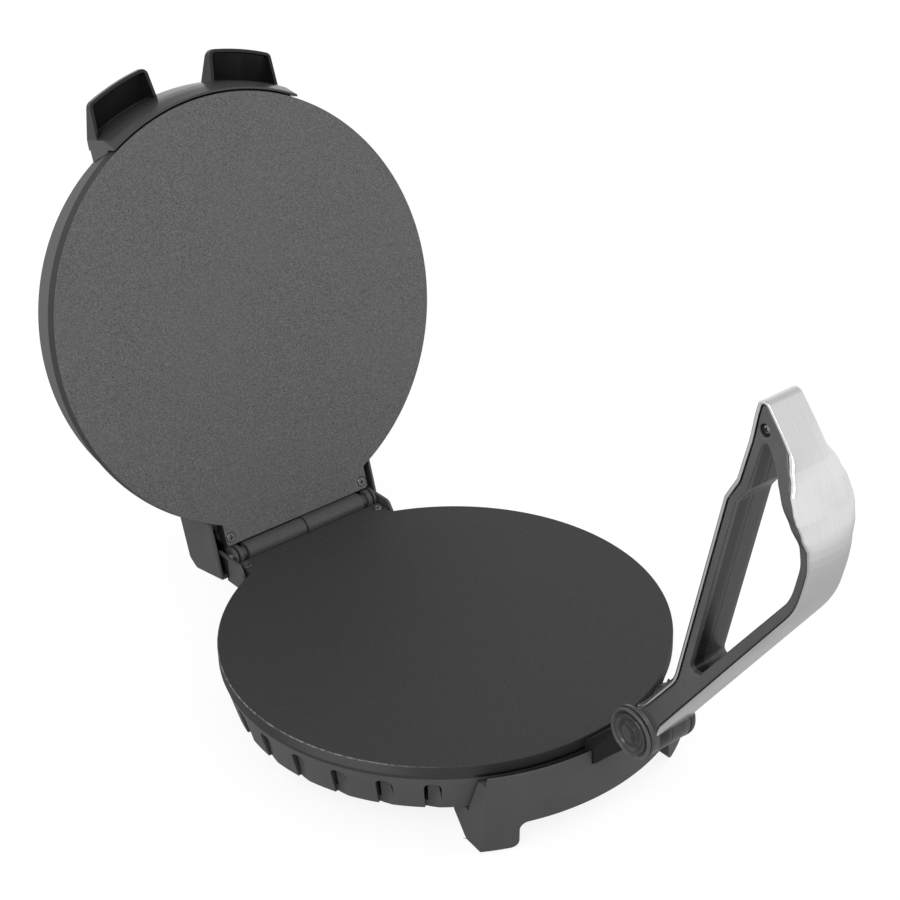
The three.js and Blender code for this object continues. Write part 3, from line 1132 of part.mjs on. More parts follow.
// The box over the hinge at the back of the lid, open below and towards the casing
function hingeCover() {
  const inner = COVER_HALF_WIDTH - COVER_WALL;
  const outline = hingeCoverOutline();
  const box = pushed('yz', outline, -COVER_HALF_WIDTH, COVER_HALF_WIDTH);
  const hollowOutline = [
    [COVER_FRONT - CUT_OVERRUN, COVER_BOTTOM - CUT_OVERRUN],
    [COVER_BACK - COVER_WALL, COVER_BOTTOM - CUT_OVERRUN],
    [COVER_SHOULDER_BACK - COVER_WALL, COVER_SHOULDER_TOP - COVER_WALL / 2],
    [COVER_SHOULDER_Y - COVER_WALL / 2, COVER_TOP - COVER_WALL],
    [COVER_FRONT - CUT_OVERRUN, COVER_TOP - COVER_WALL],
  ];
  const hollow = pushed('yz', hollowOutline, -inner, inner);
  const plateBack = CLOSED_GAP + PLATE_THICKNESS + SEAT_GAP;
  const posts = [-TAB_SCREW_X, TAB_SCREW_X].map((x) => cut(
    rod('z', COVER_POST_RADIUS, plateBack, COVER_TOP - COVER_WALL / 2, [x, TAB_SCREW_Y]),
    rod('z', SCREW_HOLE_RADIUS, plateBack - CUT_OVERRUN, plateBack + SCREW_LENGTH, [x, TAB_SCREW_Y], 12),
  ));
  const lampHoles = [-LAMP_X, LAMP_X].map((x) => rod('z', LAMP_RADIUS + SEAT_GAP,
    COVER_TOP - COVER_WALL - CUT_OVERRUN, COVER_TOP + CUT_OVERRUN, [x, LAMP_Y]));
  const topSlot = turned([
    [0, COVER_TOP - COVER_WALL - CUT_OVERRUN],
    [SKIRT_BOTTOM_RADIUS + SEAT_GAP, COVER_TOP - COVER_WALL - CUT_OVERRUN],
    [SKIRT_BOTTOM_RADIUS + SEAT_GAP, COVER_TOP + CUT_OVERRUN],
    [0, COVER_TOP + CUT_OVERRUN],
  ]);
  const rimRelief = turned([
    [0, 0],
    [PLATE_RADIUS + BRACKET_RIM_GAP / 2, 0],
    [PLATE_RADIUS + BRACKET_RIM_GAP / 2, CLOSED_GAP + PLATE_THICKNESS + SEAT_GAP],
    [0, CLOSED_GAP + PLATE_THICKNESS + SEAT_GAP],
  ]);
  return cut(join(cut(box, hollow), ...posts), lidPlug(SEAT_GAP), topSlot, rimRelief, ...lampHoles);
}

function lampLens() {
  return turned([
    [0, -LAMP_STEM],
    [LAMP_RADIUS, -LAMP_STEM],
    [LAMP_RADIUS, SEAT_GAP],
    [LAMP_FLANGE_RADIUS, SEAT_GAP],
    [LAMP_FLANGE_RADIUS, SEAT_GAP + LAMP_FLANGE_HEIGHT],
    [LAMP_RADIUS, SEAT_GAP + LAMP_FLANGE_HEIGHT],
    [LAMP_RADIUS * Math.SQRT1_2, SEAT_GAP + LAMP_RISE],
    [0, SEAT_GAP + LAMP_RISE],
  ], ROUND_SMALL);
}

function placed(mesh, x, y, z) {
  mesh.position.set(x, y, z);
  return mesh;
}

// Assembly of the base
const base = new THREE.Group();
base.add(part('base_plate', plateCasting(), 'plateLower'));
base.add(part('base_shell', baseShell(), 'casing'));
base.add(part('bottom_cover', bottomCover(), 'casing'));
base.add(part('base_heater', heater(), 'sheetSteel'));
base.add(part('base_reflector', reflector(), 'sheetSteel'));
base.add(part('thermostat', thermostat(), 'ceramic'));
base.add(part('thermal_fuse', thermalFuse(), 'ceramic'));
base.add(part('terminal_block', terminalBlock(), 'ceramic'));
base.add(part('front_bracket', frontBracket(), 'satinPlastic'));
base.add(part('rear_bracket', rearBracket(), 'satinPlastic'));
base.add(part('cord_inlet', cordInlet(), 'rubber'));
base.add(part('pivot_arm', pivotArm(), 'blackPlastic'));
base.add(part('hinge_pin', rod('x', HINGE_PIN_RADIUS, -EAR_INNER_X + SEAT_GAP,
  EAR_INNER_X - SEAT_GAP, [HINGE_REACH, HINGE_HEIGHT]), 'sheetSteel'));
base.add(part('pivot_pin', rod('x', PIVOT_PIN_RADIUS, -BARREL_HALF_WIDTH + BARREL_DISH_DEPTH,
  BARREL_HALF_WIDTH - BARREL_DISH_DEPTH, [-PIVOT_REACH, PIVOT_HEIGHT]), 'sheetSteel'));

const sides = { left: -1, right: 1 };
Object.entries(sides).forEach(([side, hand]) => {
  base.add(placed(part(`foot_front_${side}`, rubberFoot(), 'rubber'), hand * FOOT_X, -FOOT_Y, FLOOR));
  base.add(placed(part(`foot_rear_${side}`, rubberFoot(), 'rubber'), hand * FOOT_X, FOOT_Y, FLOOR));
  base.add(placed(part(`base_hinge_screw_${side}`, countersunkScrew(SCREW_LENGTH), 'darkScrew'),
    hand * TAB_SCREW_X, TAB_SCREW_Y, -SEAT_GAP / 2));
  const armScrew = part(`pivot_arm_screw_${side}`, panScrew(ARM_SCREW_LENGTH, PAN_HEAD_RADIUS), 'darkScrew');
  armScrew.rotation.x = Math.PI;
  base.add(placed(armScrew, hand * ARM_SCREW_X, -ARM_SCREW_Y,
    -ARM_SCREW_SEAT_DROP - SEAT_GAP - PAN_HEAD_HEIGHT));
});
around(POST_COUNT, Math.PI / POST_COUNT, postCentre).forEach(([x, y], index) => {
  const screw = part(`bottom_screw_${index + 1}`, panScrew(COVER_SCREW_LENGTH, PAN_HEAD_RADIUS), 'darkScrew');
  screw.rotation.x = Math.PI;
  base.add(placed(screw, x, y, COVER_UNDERSIDE - SEAT_GAP - PAN_HEAD_HEIGHT));
});

// Assembly of the lid, drawn closed and swung open about the hinge
const lid = new THREE.Group();
lid.add(turnedOver(part('lid_plate', plateCasting(), 'plateUpper')));
lid.add(turnedOver(part('lid_shell', lidShell(), 'casing')));
lid.add(turnedOver(part('lid_heater', heater(), 'sheetSteel')));
lid.add(turnedOver(part('lid_reflector', reflector(), 'sheetSteel')));
lid.add(part('lid_collar', lidCollar(), 'blackPlastic'));
lid.add(part('hinge_cover', hingeCover(), 'satinPlastic'));
lid.add(placed(part('lamp_power', lampLens(), 'lampRed'), -LAMP_X, LAMP_Y, COVER_TOP));
lid.add(placed(part('lamp_ready', lampLens(), 'lampGreen'), LAMP_X, LAMP_Y, COVER_TOP));
Object.entries(sides).forEach(([side, hand]) => {
  const screw = part(`lid_hinge_screw_${side}`, countersunkScrew(SCREW_LENGTH), 'darkScrew');
  screw.rotation.y = Math.PI;
  lid.add(placed(screw, hand * TAB_SCREW_X, TAB_SCREW_Y, CLOSED_GAP + SEAT_GAP / 2));
});
lid.position.set(0, -HINGE_REACH, -HINGE_HEIGHT);
const lidSwing = new THREE.Group();
lidSwing.add(lid);
lidSwing.position.set(0, HINGE_REACH, HINGE_HEIGHT);
lidSwing.rotation.x = -LID_OPEN_ANGLE;

// Assembly of the lever, drawn lying back over the lid and swung forward about its pivot
const lever = new THREE.Group();
Object.entries(sides).forEach(([side, hand]) => {
  lever.add(part(`lever_${side}`, leverHalf(hand), 'blackPlastic'));
  const cap = part(`pivot_cap_${side}`, pivotCap(), 'blackPlastic');
  cap.rotation.y = hand * Math.PI / 2;
  lever.add(placed(cap, hand * (BARREL_HALF_WIDTH - BARREL_DISH_DEPTH + SEAT_GAP), 0, 0));
});
lever.add(part('lever_band', leverBand(), 'brushedSteel'));
const tipScrew = part('lever_tip_screw', panScrew(2 * TIP_HALF_WIDTH - TIP_SCREW_WELL_DEPTH
  - TIP_SCREW_END_WALL, TIP_SCREW_HEAD_RADIUS), 'darkScrew');
tipScrew.rotation.y = -Math.PI / 2;
lever.add(placed(tipScrew, -TIP_HALF_WIDTH + TIP_SCREW_WELL_DEPTH - SEAT_GAP - PAN_HEAD_HEIGHT,
  ...tipScrewPlace()));
lever.position.set(0, -PIVOT_REACH, PIVOT_HEIGHT);
lever.rotation.x = LEVER_OPEN_ANGLE;

// The whole appliance stands on its feet, with the middle of its footprint at the origin
const rotiMaker = new THREE.Group();
rotiMaker.add(base, lidSwing, lever);
const bounds = new THREE.Box3().setFromObject(rotiMaker, true);
const middle = bounds.getCenter(new THREE.Vector3());
rotiMaker.position.set(-middle.x, -middle.y, -bounds.min.z);

export default rotiMaker;
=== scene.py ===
"""Looks of an electric roti maker: two round cast plates on a hinge and a pressing lever in front.

The pieces are drawn in millimetres with the appliance closed: the lower cooking face is at height zero,
+Y points to the hinge and +Z up. The lever is drawn with its pivot at the origin. Stance turns each
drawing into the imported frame, where the lid and the lever are swung open.
"""

import functools
import json
import logging
import math
from dataclasses import dataclass, field
from enum import Enum
from typing import Any, Callable, Iterable, Optional, Sequence, Union

import bmesh
import bpy
from mathutils import Matrix, Vector

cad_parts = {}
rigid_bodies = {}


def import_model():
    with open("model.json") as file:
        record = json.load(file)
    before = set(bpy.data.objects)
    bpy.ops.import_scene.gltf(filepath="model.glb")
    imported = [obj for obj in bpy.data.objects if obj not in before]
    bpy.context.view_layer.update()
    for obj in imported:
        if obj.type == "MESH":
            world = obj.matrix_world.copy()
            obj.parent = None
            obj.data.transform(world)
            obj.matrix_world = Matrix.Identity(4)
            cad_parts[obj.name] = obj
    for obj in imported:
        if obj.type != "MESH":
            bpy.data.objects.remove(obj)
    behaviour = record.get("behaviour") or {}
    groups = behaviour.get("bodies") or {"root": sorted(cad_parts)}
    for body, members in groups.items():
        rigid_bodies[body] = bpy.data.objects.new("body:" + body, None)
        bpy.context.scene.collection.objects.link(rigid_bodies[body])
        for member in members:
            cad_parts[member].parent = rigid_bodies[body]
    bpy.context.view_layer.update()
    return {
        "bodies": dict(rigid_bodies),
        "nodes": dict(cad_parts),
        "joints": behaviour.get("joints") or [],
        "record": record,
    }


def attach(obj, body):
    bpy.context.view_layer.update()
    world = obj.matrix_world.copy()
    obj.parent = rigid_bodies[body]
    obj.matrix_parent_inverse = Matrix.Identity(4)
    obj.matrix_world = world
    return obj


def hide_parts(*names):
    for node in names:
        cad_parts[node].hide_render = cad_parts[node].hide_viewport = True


log = logging.getLogger("roti_maker")

Corner = tuple[float, float, float]
Flat = tuple[float, float]
Colour = tuple[float, float, float]

MM = 0.001

# Places that several pieces share: the two axles, the hinge screws, the holes of small screws, the screws of
# the underside, the seat of the lid's covers, the cord's hole and the ground.
HINGE_Y, HINGE_Z = 136.6, 1.0
PIVOT_Y, PIVOT_Z = -166.9, 28.1
SCREW_X, SCREW_Y = 48.35, 125.4
SCREW_HOLE = 1.75
COVER_SCREW = 108 * math.cos(math.pi / 4)
LID_SEAT = 10.55
INLET_Z = -17.0
FLOOR_Z = -51.0

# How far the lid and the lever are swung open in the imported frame.
LID_OPEN_DEG, LEVER_OPEN_DEG = 105.05, 103.6

# Black painted where there is only shade: a painted shadow in gaps and hollows.
PAINTED_SHADE_BLACK: Colour = (0.002, 0.002, 0.002)


class Body(Enum):
    """The three bodies that move against each other."""

    BASE = "base"
    LID = "lid"
    LEVER = "lever"


class Plane(Enum):
    """Planes in which outlines are drawn; the third axis is the one a prism is pushed along."""

    XY = ((1, 0, 0), (0, 1, 0), (0, 0, 1))
    YZ = ((0, 1, 0), (0, 0, 1), (1, 0, 0))
    XZ = ((1, 0, 0), (0, 0, 1), (0, -1, 0))

    def matrix(self) -> Matrix:
        """The matrix that takes (first, second, third) into space."""
        return Matrix(self.value).transposed().to_4x4()


class Axis(Enum):
    """Axes that a turned piece can stand on."""

    X = Matrix(((0, 0, 1), (1, 0, 0), (0, 1, 0)))
    Y = Matrix(((0, 1, 0), (0, 0, 1), (1, 0, 0)))
    Z = Matrix.Identity(3)


# Outlines


def rounded(corners: Sequence[Corner], step_deg: float = 6.0) -> list[Flat]:
    """Rounds the corners of a closed polygon.

    Args:
        corners: (first, second, radius) for each corner; a radius of zero keeps it sharp.
        step_deg: largest turn between two points of a round.

    Returns:
        The outline's points in order.
    """
    points: list[Flat] = []
    for index, (x, y, radius) in enumerate(corners):
        here = Vector((x, y))
        if radius == 0:
            points.append((x, y))
            continue
        before = (Vector(corners[index - 1][:2]) - here).normalized()
        after = (Vector(corners[(index + 1) % len(corners)][:2]) - here).normalized()
        half = math.acos(max(-1.0, min(1.0, before.dot(after)))) / 2
        centre = here + (before + after).normalized() * (radius / math.sin(half))
        reach = radius / math.tan(half)
        first = here + before * reach - centre
        last = here + after * reach - centre
        start = math.atan2(first.y, first.x)
        turn = math.atan2(last.y, last.x) - start
        turn = math.atan2(math.sin(turn), math.cos(turn))
        steps = max(2, math.ceil(abs(math.degrees(turn)) / step_deg))
        for step in range(steps + 1):
            angle = start + turn * step / steps
            points.append((centre.x + radius * math.cos(angle), centre.y + radius * math.sin(angle)))
    return points


def inset(points: Sequence[Flat], distance: float) -> list[Flat]:
    """Moves an anticlockwise outline inwards.

    Args:
        points: the outline.
        distance: how far each side moves.

    Returns:
        The moved outline, point for point.
    """
    moved: list[Flat] = []
    for index, point in enumerate(points):
        here = Vector(point)
        before = (here - Vector(points[index - 1])).normalized()
        after = (Vector(points[(index + 1) % len(points)]) - here).normalized()
        inward = Vector((-before.y - after.y, before.x + after.x)).normalized()
        stretch = max(inward.dot(Vector((-after.y, after.x))), math.sqrt(0.5))
        moved.append(tuple(here + inward * (distance / stretch)))
    return moved


def arc(radius: float, start_deg: float, end_deg: float, steps: int, centre: Flat = (0.0, 0.0)) -> list[Flat]:
    """Points on an arc.

    Args:
        radius: radius of the arc.
        start_deg: first angle, from the first axis towards the second.
        end_deg: last angle.
        steps: number of stretches.
        centre: centre of the arc.

    Returns:
        steps + 1 points.
    """
    angles = [math.radians(start_deg + (end_deg - start_deg) * step / steps) for step in range(steps + 1)]
    return [(centre[0] + radius * math.cos(a), centre[1] + radius * math.sin(a)) for a in angles]


def dense(points: Sequence[Flat], longest: float) -> list[Flat]:
    """A closed outline with no stretch longer than a length.

    Args:
        points: the outline.
        longest: the length.

    Returns:
        The outline with points added.
    """
    result: list[Flat] = []
    for index, point in enumerate(points):
        here, there = Vector(point), Vector(points[(index + 1) % len(points)])
        count = max(1, math.ceil((there - here).length / longest))
        result += [tuple(here.lerp(there, step / count)) for step in range(count)]
    return result


def pair(x: float, y: float, z: float) -> list[tuple[float, float, float]]:
    """A place's mirror image in the middle plane and the place itself."""
    return [(-x, y, z), (x, y, z)]


def clamped(value: float) -> float:
    """The value held between zero and one."""
    return max(0.0, min(1.0, value))


def eased(share: float) -> float:
    """A share that starts and ends gently."""
    return share * share * (3 - 2 * share)


def spun(degrees: float, axis: str) -> Matrix:
    """A rotation about an axis through the origin."""
    return Matrix.Rotation(math.radians(degrees), 4, axis)


def linked(name: str, data: bpy.types.ID) -> bpy.types.Object:
    """A new object in the scene that shows the data.

    Args:
        name: its name.
        data: what it shows.

    Returns:
        The object.
    """
    made = bpy.data.objects.new(name, data)
    bpy.context.scene.collection.objects.link(made)
    return made


# Solids


class Solid:
    """A closed mesh that can be joined with others, cut by them and given rounded edges."""

    def __init__(self, mesh: bpy.types.Mesh) -> None:
        """Keeps the mesh.

        Args:
            mesh: closed mesh in drawing millimetres.
        """
        self.mesh = mesh

    @classmethod
    def of_bmesh(cls, made: bmesh.types.BMesh) -> "Solid":
        """Closes a bmesh into a solid whose faces point outwards.

        Args:
            made: the mesh under construction; it is freed.

        Returns:
            The solid.
        """
        bmesh.ops.remove_doubles(made, verts=made.verts, dist=1e-4)
        bmesh.ops.recalc_face_normals(made, faces=made.faces)
        if made.calc_volume(signed=True) < 0:
            bmesh.ops.reverse_faces(made, faces=made.faces)
        return cls._closed(made)

    @classmethod
    def _closed(cls, made: bmesh.types.BMesh) -> "Solid":
        """The solid of a bmesh as it stands; the bmesh is freed.

        Args:
            made: the mesh under construction.

        Returns:
            The solid.
        """
        mesh = bpy.data.meshes.new("blank")
        made.to_mesh(mesh)
        made.free()
        return cls(mesh)

    def _opened(self) -> bmesh.types.BMesh:
        """A bmesh with a copy of the solid.

        Returns:
            The copy.
        """
        made = bmesh.new()
        made.from_mesh(self.mesh)
        return made

    @classmethod
    def prism(cls, outline: Sequence[Flat], plane: Plane, low: float, high: float) -> "Solid":
        """An outline pushed along the plane's third axis.

        Args:
            outline: closed outline.
            plane: where the outline is drawn.
            low: first station.
            high: last station.

        Returns:
            The prism.
        """
        made = bmesh.new()
        matrix = plane.matrix()
        near = [made.verts.new(matrix @ Vector((x, y, low))) for x, y in outline]
        far = [made.verts.new(matrix @ Vector((x, y, high))) for x, y in outline]
        made.faces.new(list(reversed(near)))
        made.faces.new(far)
        for index in range(len(outline)):
            following = (index + 1) % len(outline)
            made.faces.new((near[index], near[following], far[following], far[index]))
        return cls.of_bmesh(made)

    @classmethod
    def block(cls, low: Sequence[float], high: Sequence[float]) -> "Solid":
        """A block between two corners.

        Args:
            low: lowest corner.
            high: highest corner.

        Returns:
            The block.
        """
        outline = [(low[0], low[1]), (high[0], low[1]), (high[0], high[1]), (low[0], high[1])]
        return cls.prism(outline, Plane.XY, low[2], high[2])

    @classmethod
    def turned(
        cls,
        profile: Sequence[Flat],
        segments: int = 64,
        axis: Axis = Axis.Z,
        centre: Sequence[float] = (0.0, 0.0, 0.0),
    ) -> "Solid":
        """A profile turned about an axis.

        Args:
            profile: (radius, station) points that start and end on the axis, or close on themselves.
            segments: stretches in the full turn.
            axis: the axis.
            centre: a point on the axis, from which stations count.

        Returns:
            The turned solid.
        """
        made = bmesh.new()
        place = Matrix.Translation(centre) @ axis.value.to_4x4()
        rings = []
        for radius, station in profile:
            if radius < 1e-6:
                rings.append([made.verts.new(place @ Vector((0, 0, station)))] * segments)
                continue
            angles = [2 * math.pi * step / segments for step in range(segments)]
            rings.append([
                made.verts.new(place @ Vector((radius * math.cos(a), radius * math.sin(a), station)))
                for a in angles
            ])
        closed = profile[0][0] > 1e-6
        pairs = list(zip(rings, rings[1:] + (rings[:1] if closed else [])))
        for lower, upper in pairs:
            for step in range(segments):
                following = (step + 1) % segments
                corners = [lower[step], lower[following], upper[following], upper[step]]
                distinct = list(dict.fromkeys(corners))
                if len(distinct) > 2:
                    made.faces.new(distinct)
        return cls.of_bmesh(made)

    @classmethod
    def rod(
        cls, radius: float, low: float, high: float, segments: int, axis: Axis = Axis.Z,
        centre: Sequence[float] = (0.0, 0.0, 0.0),
    ) -> "Solid":
        """A plain cylinder.

        Args:
            radius: its radius.
            low: where it starts along the axis.
            high: where it ends.
            segments: facets round it.
            axis: its axis.
            centre: a point on the axis, from which low and high count.

        Returns:
            The cylinder.
        """
        return cls.turned([(0, low), (radius, low), (radius, high), (0, high)], segments, axis, centre)

    @classmethod
    def swept(cls, sections: Sequence[Sequence[Vector]]) -> "Solid":
        """A skin over closed cross sections, with a cap at each end.

        Args:
            sections: loops with the same number of points, in order.

        Returns:
            The swept solid.
        """
        made = bmesh.new()
        loops = [[made.verts.new(point) for point in section] for section in sections]
        for near, far in zip(loops, loops[1:]):
            for index in range(len(near)):
                following = (index + 1) % len(near)
                made.faces.new((near[index], near[following], far[following], far[index]))
        made.faces.new(list(reversed(loops[0])))
        made.faces.new(loops[-1])
        return cls.of_bmesh(made)

    @staticmethod
    def applied(target: bpy.types.Object) -> "Solid":
        """The solid that an object's modifiers give.

        Args:
            target: the object.

        Returns:
            The solid.
        """
        bpy.context.view_layer.update()
        graph = bpy.context.evaluated_depsgraph_get()
        mesh = bpy.data.meshes.new_from_object(target.evaluated_get(graph), depsgraph=graph)
        target.modifiers.clear()
        return Solid(mesh)

    def _combined(self, other: "Solid", operation: str) -> "Solid":
        """Joins, cuts or intersects with another solid.

        Args:
            other: the other solid.
            operation: Blender's word for it.

        Returns:
            The combined solid.
        """
        target, tool = linked("blank", self.mesh), linked("blank", other.mesh)
        combine = target.modifiers.new("combine", "BOOLEAN")
        combine.operation = operation
        combine.object = tool
        combine.solver = "EXACT"
        result = self.applied(target).welded(5e-4)
        bpy.data.objects.remove(target)
        bpy.data.objects.remove(tool)
        return result

    def welded(self, distance: float) -> "Solid":
        """Merges points closer than a distance and flattens what has no area left.

        Args:
            distance: the distance.

        Returns:
            The cleaned solid.
        """
        made = self._opened()
        bmesh.ops.remove_doubles(made, verts=made.verts, dist=distance)
        bmesh.ops.dissolve_degenerate(made, edges=made.edges, dist=distance)
        return self._closed(made)

    def cut(self, *tools: "Solid") -> "Solid":
        """What is left outside the tools."""
        return functools.reduce(lambda rest, tool: rest._combined(tool, "DIFFERENCE"), tools, self)

    def join(self, *others: "Solid") -> "Solid":
        """This solid and the others as one."""
        return functools.reduce(lambda whole, other: whole._combined(other, "UNION"), others, self)

    def meet(self, other: "Solid") -> "Solid":
        """What this solid shares with another."""
        return self._combined(other, "INTERSECT")

    def beside(self, *others: "Solid") -> "Solid":
        """This solid and the others in one mesh, each still closed by itself.

        Args:
            others: the other solids.

        Returns:
            All of them in one mesh.
        """
        made = self._opened()
        for solid in others:
            made.from_mesh(solid.mesh)
        return self._closed(made)

    def softened(
        self, width: float, segments: int = 2, angle_deg: float = 35.0,
        spared: Optional[Callable[[Vector], bool]] = None,
    ) -> "Solid":
        """Rounds the edges that turn by more than an angle.

        Args:
            width: how far the round reaches from the edge.
            segments: facets across the round.
            angle_deg: least turn that is rounded.
            spared: tells the points whose edges stay sharp.

        Returns:
            The rounded solid.
        """
        made = self.welded(min(width * 0.3, 0.1))._opened()
        limit = math.radians(angle_deg)
        edges = [edge for edge in made.edges if edge.is_manifold and edge.calc_face_angle(0.0) > limit]
        if spared:
            edges = [edge for edge in edges if not all(spared(vertex.co) for vertex in edge.verts)]
        bmesh.ops.bevel(
            made, geom=edges, offset=width, offset_type="OFFSET", segments=segments, profile=0.5,
            affect="EDGES", clamp_overlap=False, miter_outer="SHARP",
        )
        return self._closed(made)

    def sliced(self, across: Sequence[float], stations: Sequence[float]) -> "Solid":
        """The solid with extra edges where parallel planes pass.

        Args:
            across: normal of the planes.
            stations: their distances from the origin.

        Returns:
            The sliced solid, of the same shape.
        """
        made = self._opened()
        for station in stations:
            whole = made.verts[:] + made.edges[:] + made.faces[:]
            place = Vector(across) * station
            bmesh.ops.bisect_plane(made, geom=whole, plane_co=place, plane_no=across, dist=1e-4)
        return self._closed(made)

    def warped(self, move: Callable[[Vector], Vector]) -> "Solid":
        """A copy in triangles with every point moved by a rule.

        Args:
            move: the rule, from a point to its new place.

        Returns:
            The moved copy.
        """
        made = self._opened()
        bmesh.ops.triangulate(made, faces=[face for face in made.faces if len(face.verts) > 4])
        for vertex in made.verts:
            vertex.co = move(vertex.co.copy())
        return self._closed(made)

    def moved(self, matrix: Matrix) -> "Solid":
        """A copy of the solid moved by a matrix.

        Args:
            matrix: the matrix.

        Returns:
            The moved copy.
        """
        mesh = self.mesh.copy()
        mesh.transform(matrix)
        return Solid(mesh)

    def flipped(self) -> "Solid":
        """A copy mirrored in the middle plane, with its faces pointing outwards.

        Returns:
            The mirrored copy.
        """
        mesh = self.mesh.copy()
        mesh.transform(Matrix.Scale(-1, 4, (1, 0, 0)))
        mesh.flip_normals()
        return Solid(mesh)


# Repeats


class Repeats:
    """Geometry Nodes trees that set copies of one shape in rings or at marked places."""

    @staticmethod
    def _tree(name: str, sockets: dict[str, str]) -> tuple[bpy.types.GeometryNodeTree, bpy.types.Node]:
        """Starts a tree with one output, for geometry.

        Args:
            name: its name.
            sockets: its inputs, each with the kind of socket.

        Returns:
            The tree and the node that gives its inputs.
        """
        tree = bpy.data.node_groups.new(name, "GeometryNodeTree")
        for label, kind in sockets.items():
            tree.interface.new_socket(label, in_out="INPUT", socket_type=f"NodeSocket{kind}")
        tree.interface.new_socket("Geometry", in_out="OUTPUT", socket_type="NodeSocketGeometry")
        return tree, tree.nodes.new("NodeGroupInput")

    @staticmethod
    def _finish(tree: bpy.types.GeometryNodeTree, copies: bpy.types.NodeSocket) -> None:
        """Ends a tree in real meshes with one material.

        Args:
            tree: the tree.
            copies: the socket that carries the copies.
        """
        for kind in ("GeometryNodeRealizeInstances", "GeometryNodeSetMaterial", "NodeGroupOutput"):
            step = tree.nodes.new(kind)
            tree.links.new(copies, step.inputs[0])
            copies = step.outputs[0] if step.outputs else None

    @classmethod
    @functools.cache
    def ring_tree(cls) -> bpy.types.GeometryNodeTree:
        """A tree that turns copies of a shape round the upright axis at an even pitch.

        Returns:
            The tree, built once.
        """
        sockets = {"Geometry": "Geometry", "Count": "Int", "First angle": "Float", "Pitch angle": "Float"}
        tree, given = cls._tree("copies round a ring", sockets)
        nodes, links = tree.nodes, tree.links
        line = nodes.new("GeometryNodeMeshLine")
        line.mode = "OFFSET"
        line.inputs["Offset"].default_value = (0, 0, 0)
        links.new(given.outputs["Count"], line.inputs["Count"])
        index = nodes.new("GeometryNodeInputIndex")
        turn = nodes.new("ShaderNodeMath")
        turn.operation = "MULTIPLY_ADD"
        terms = (index.outputs[0], given.outputs["Pitch angle"], given.outputs["First angle"])
        for place, socket in enumerate(terms):
            links.new(socket, turn.inputs[place])
        spin = nodes.new("ShaderNodeCombineXYZ")
        links.new(turn.outputs[0], spin.inputs["Z"])
        copies = nodes.new("GeometryNodeInstanceOnPoints")
        links.new(line.outputs[0], copies.inputs["Points"])
        links.new(given.outputs["Geometry"], copies.inputs["Instance"])
        links.new(spin.outputs[0], copies.inputs["Rotation"])
        cls._finish(tree, copies.outputs[0])
        return tree

    @classmethod
    @functools.cache
    def place_tree(cls) -> bpy.types.GeometryNodeTree:
        """A tree that sets copies of a shape at the vertices of another.

        Returns:
            The tree, built once.
        """
        tree, given = cls._tree("copies at places", {"Geometry": "Geometry", "Shape": "Object"})
        shape = tree.nodes.new("GeometryNodeObjectInfo")
        tree.links.new(given.outputs["Shape"], shape.inputs["Object"])
        copies = tree.nodes.new("GeometryNodeInstanceOnPoints")
        tree.links.new(given.outputs["Geometry"], copies.inputs["Points"])
        tree.links.new(shape.outputs["Geometry"], copies.inputs["Instance"])
        cls._finish(tree, copies.outputs[0])
        return tree

    @staticmethod
    def _run(mesh: bpy.types.Mesh, tree: bpy.types.GeometryNodeTree, inputs: dict[str, Any]) -> Solid:
        """Runs a tree once, with its inputs set through their identifiers.

        Args:
            mesh: the geometry it starts from.
            tree: the tree.
            inputs: values of its named inputs.

        Returns:
            The result as one mesh.
        """
        target = linked("blank", mesh)
        modifier = target.modifiers.new("repeat", "NODES")
        modifier.node_group = tree
        for item in tree.interface.items_tree:
            if item.in_out == "INPUT" and item.name in inputs:
                modifier[item.identifier] = inputs[item.name]
        result = Solid.applied(target)
        bpy.data.objects.remove(target)
        return result

    @classmethod
    def ring(cls, shape: Solid, count: int, first_deg: float, pitch_deg: float) -> Solid:
        """Copies of a shape turned round the upright axis.

        Args:
            shape: the shape, drawn at angle zero.
            count: number of copies.
            first_deg: angle of the first.
            pitch_deg: angle from each to the next.

        Returns:
            All copies in one mesh.
        """
        first, pitch = math.radians(first_deg), math.radians(pitch_deg)
        return cls._run(shape.mesh, cls.ring_tree(), {"Count": count, "First angle": first, "Pitch angle": pitch})

    @classmethod
    def at(cls, shape: Solid, places: Sequence[Sequence[float]]) -> Solid:
        """Copies of a shape at given places.

        Args:
            shape: the shape, drawn at the origin.
            places: where the copies go.

        Returns:
            All copies in one mesh.
        """
        marks = bpy.data.meshes.new("marks")
        marks.from_pydata([tuple(place) for place in places], [], [])
        original = linked("blank", shape.mesh)
        result = cls._run(marks, cls.place_tree(), {"Shape": original})
        bpy.data.objects.remove(original)
        return result


# Shader maths

Number = Union[float, int, "Value"]


def tint(colour: Colour, factor: float) -> Colour:
    """A colour made lighter or darker."""
    return tuple(channel * factor for channel in colour)


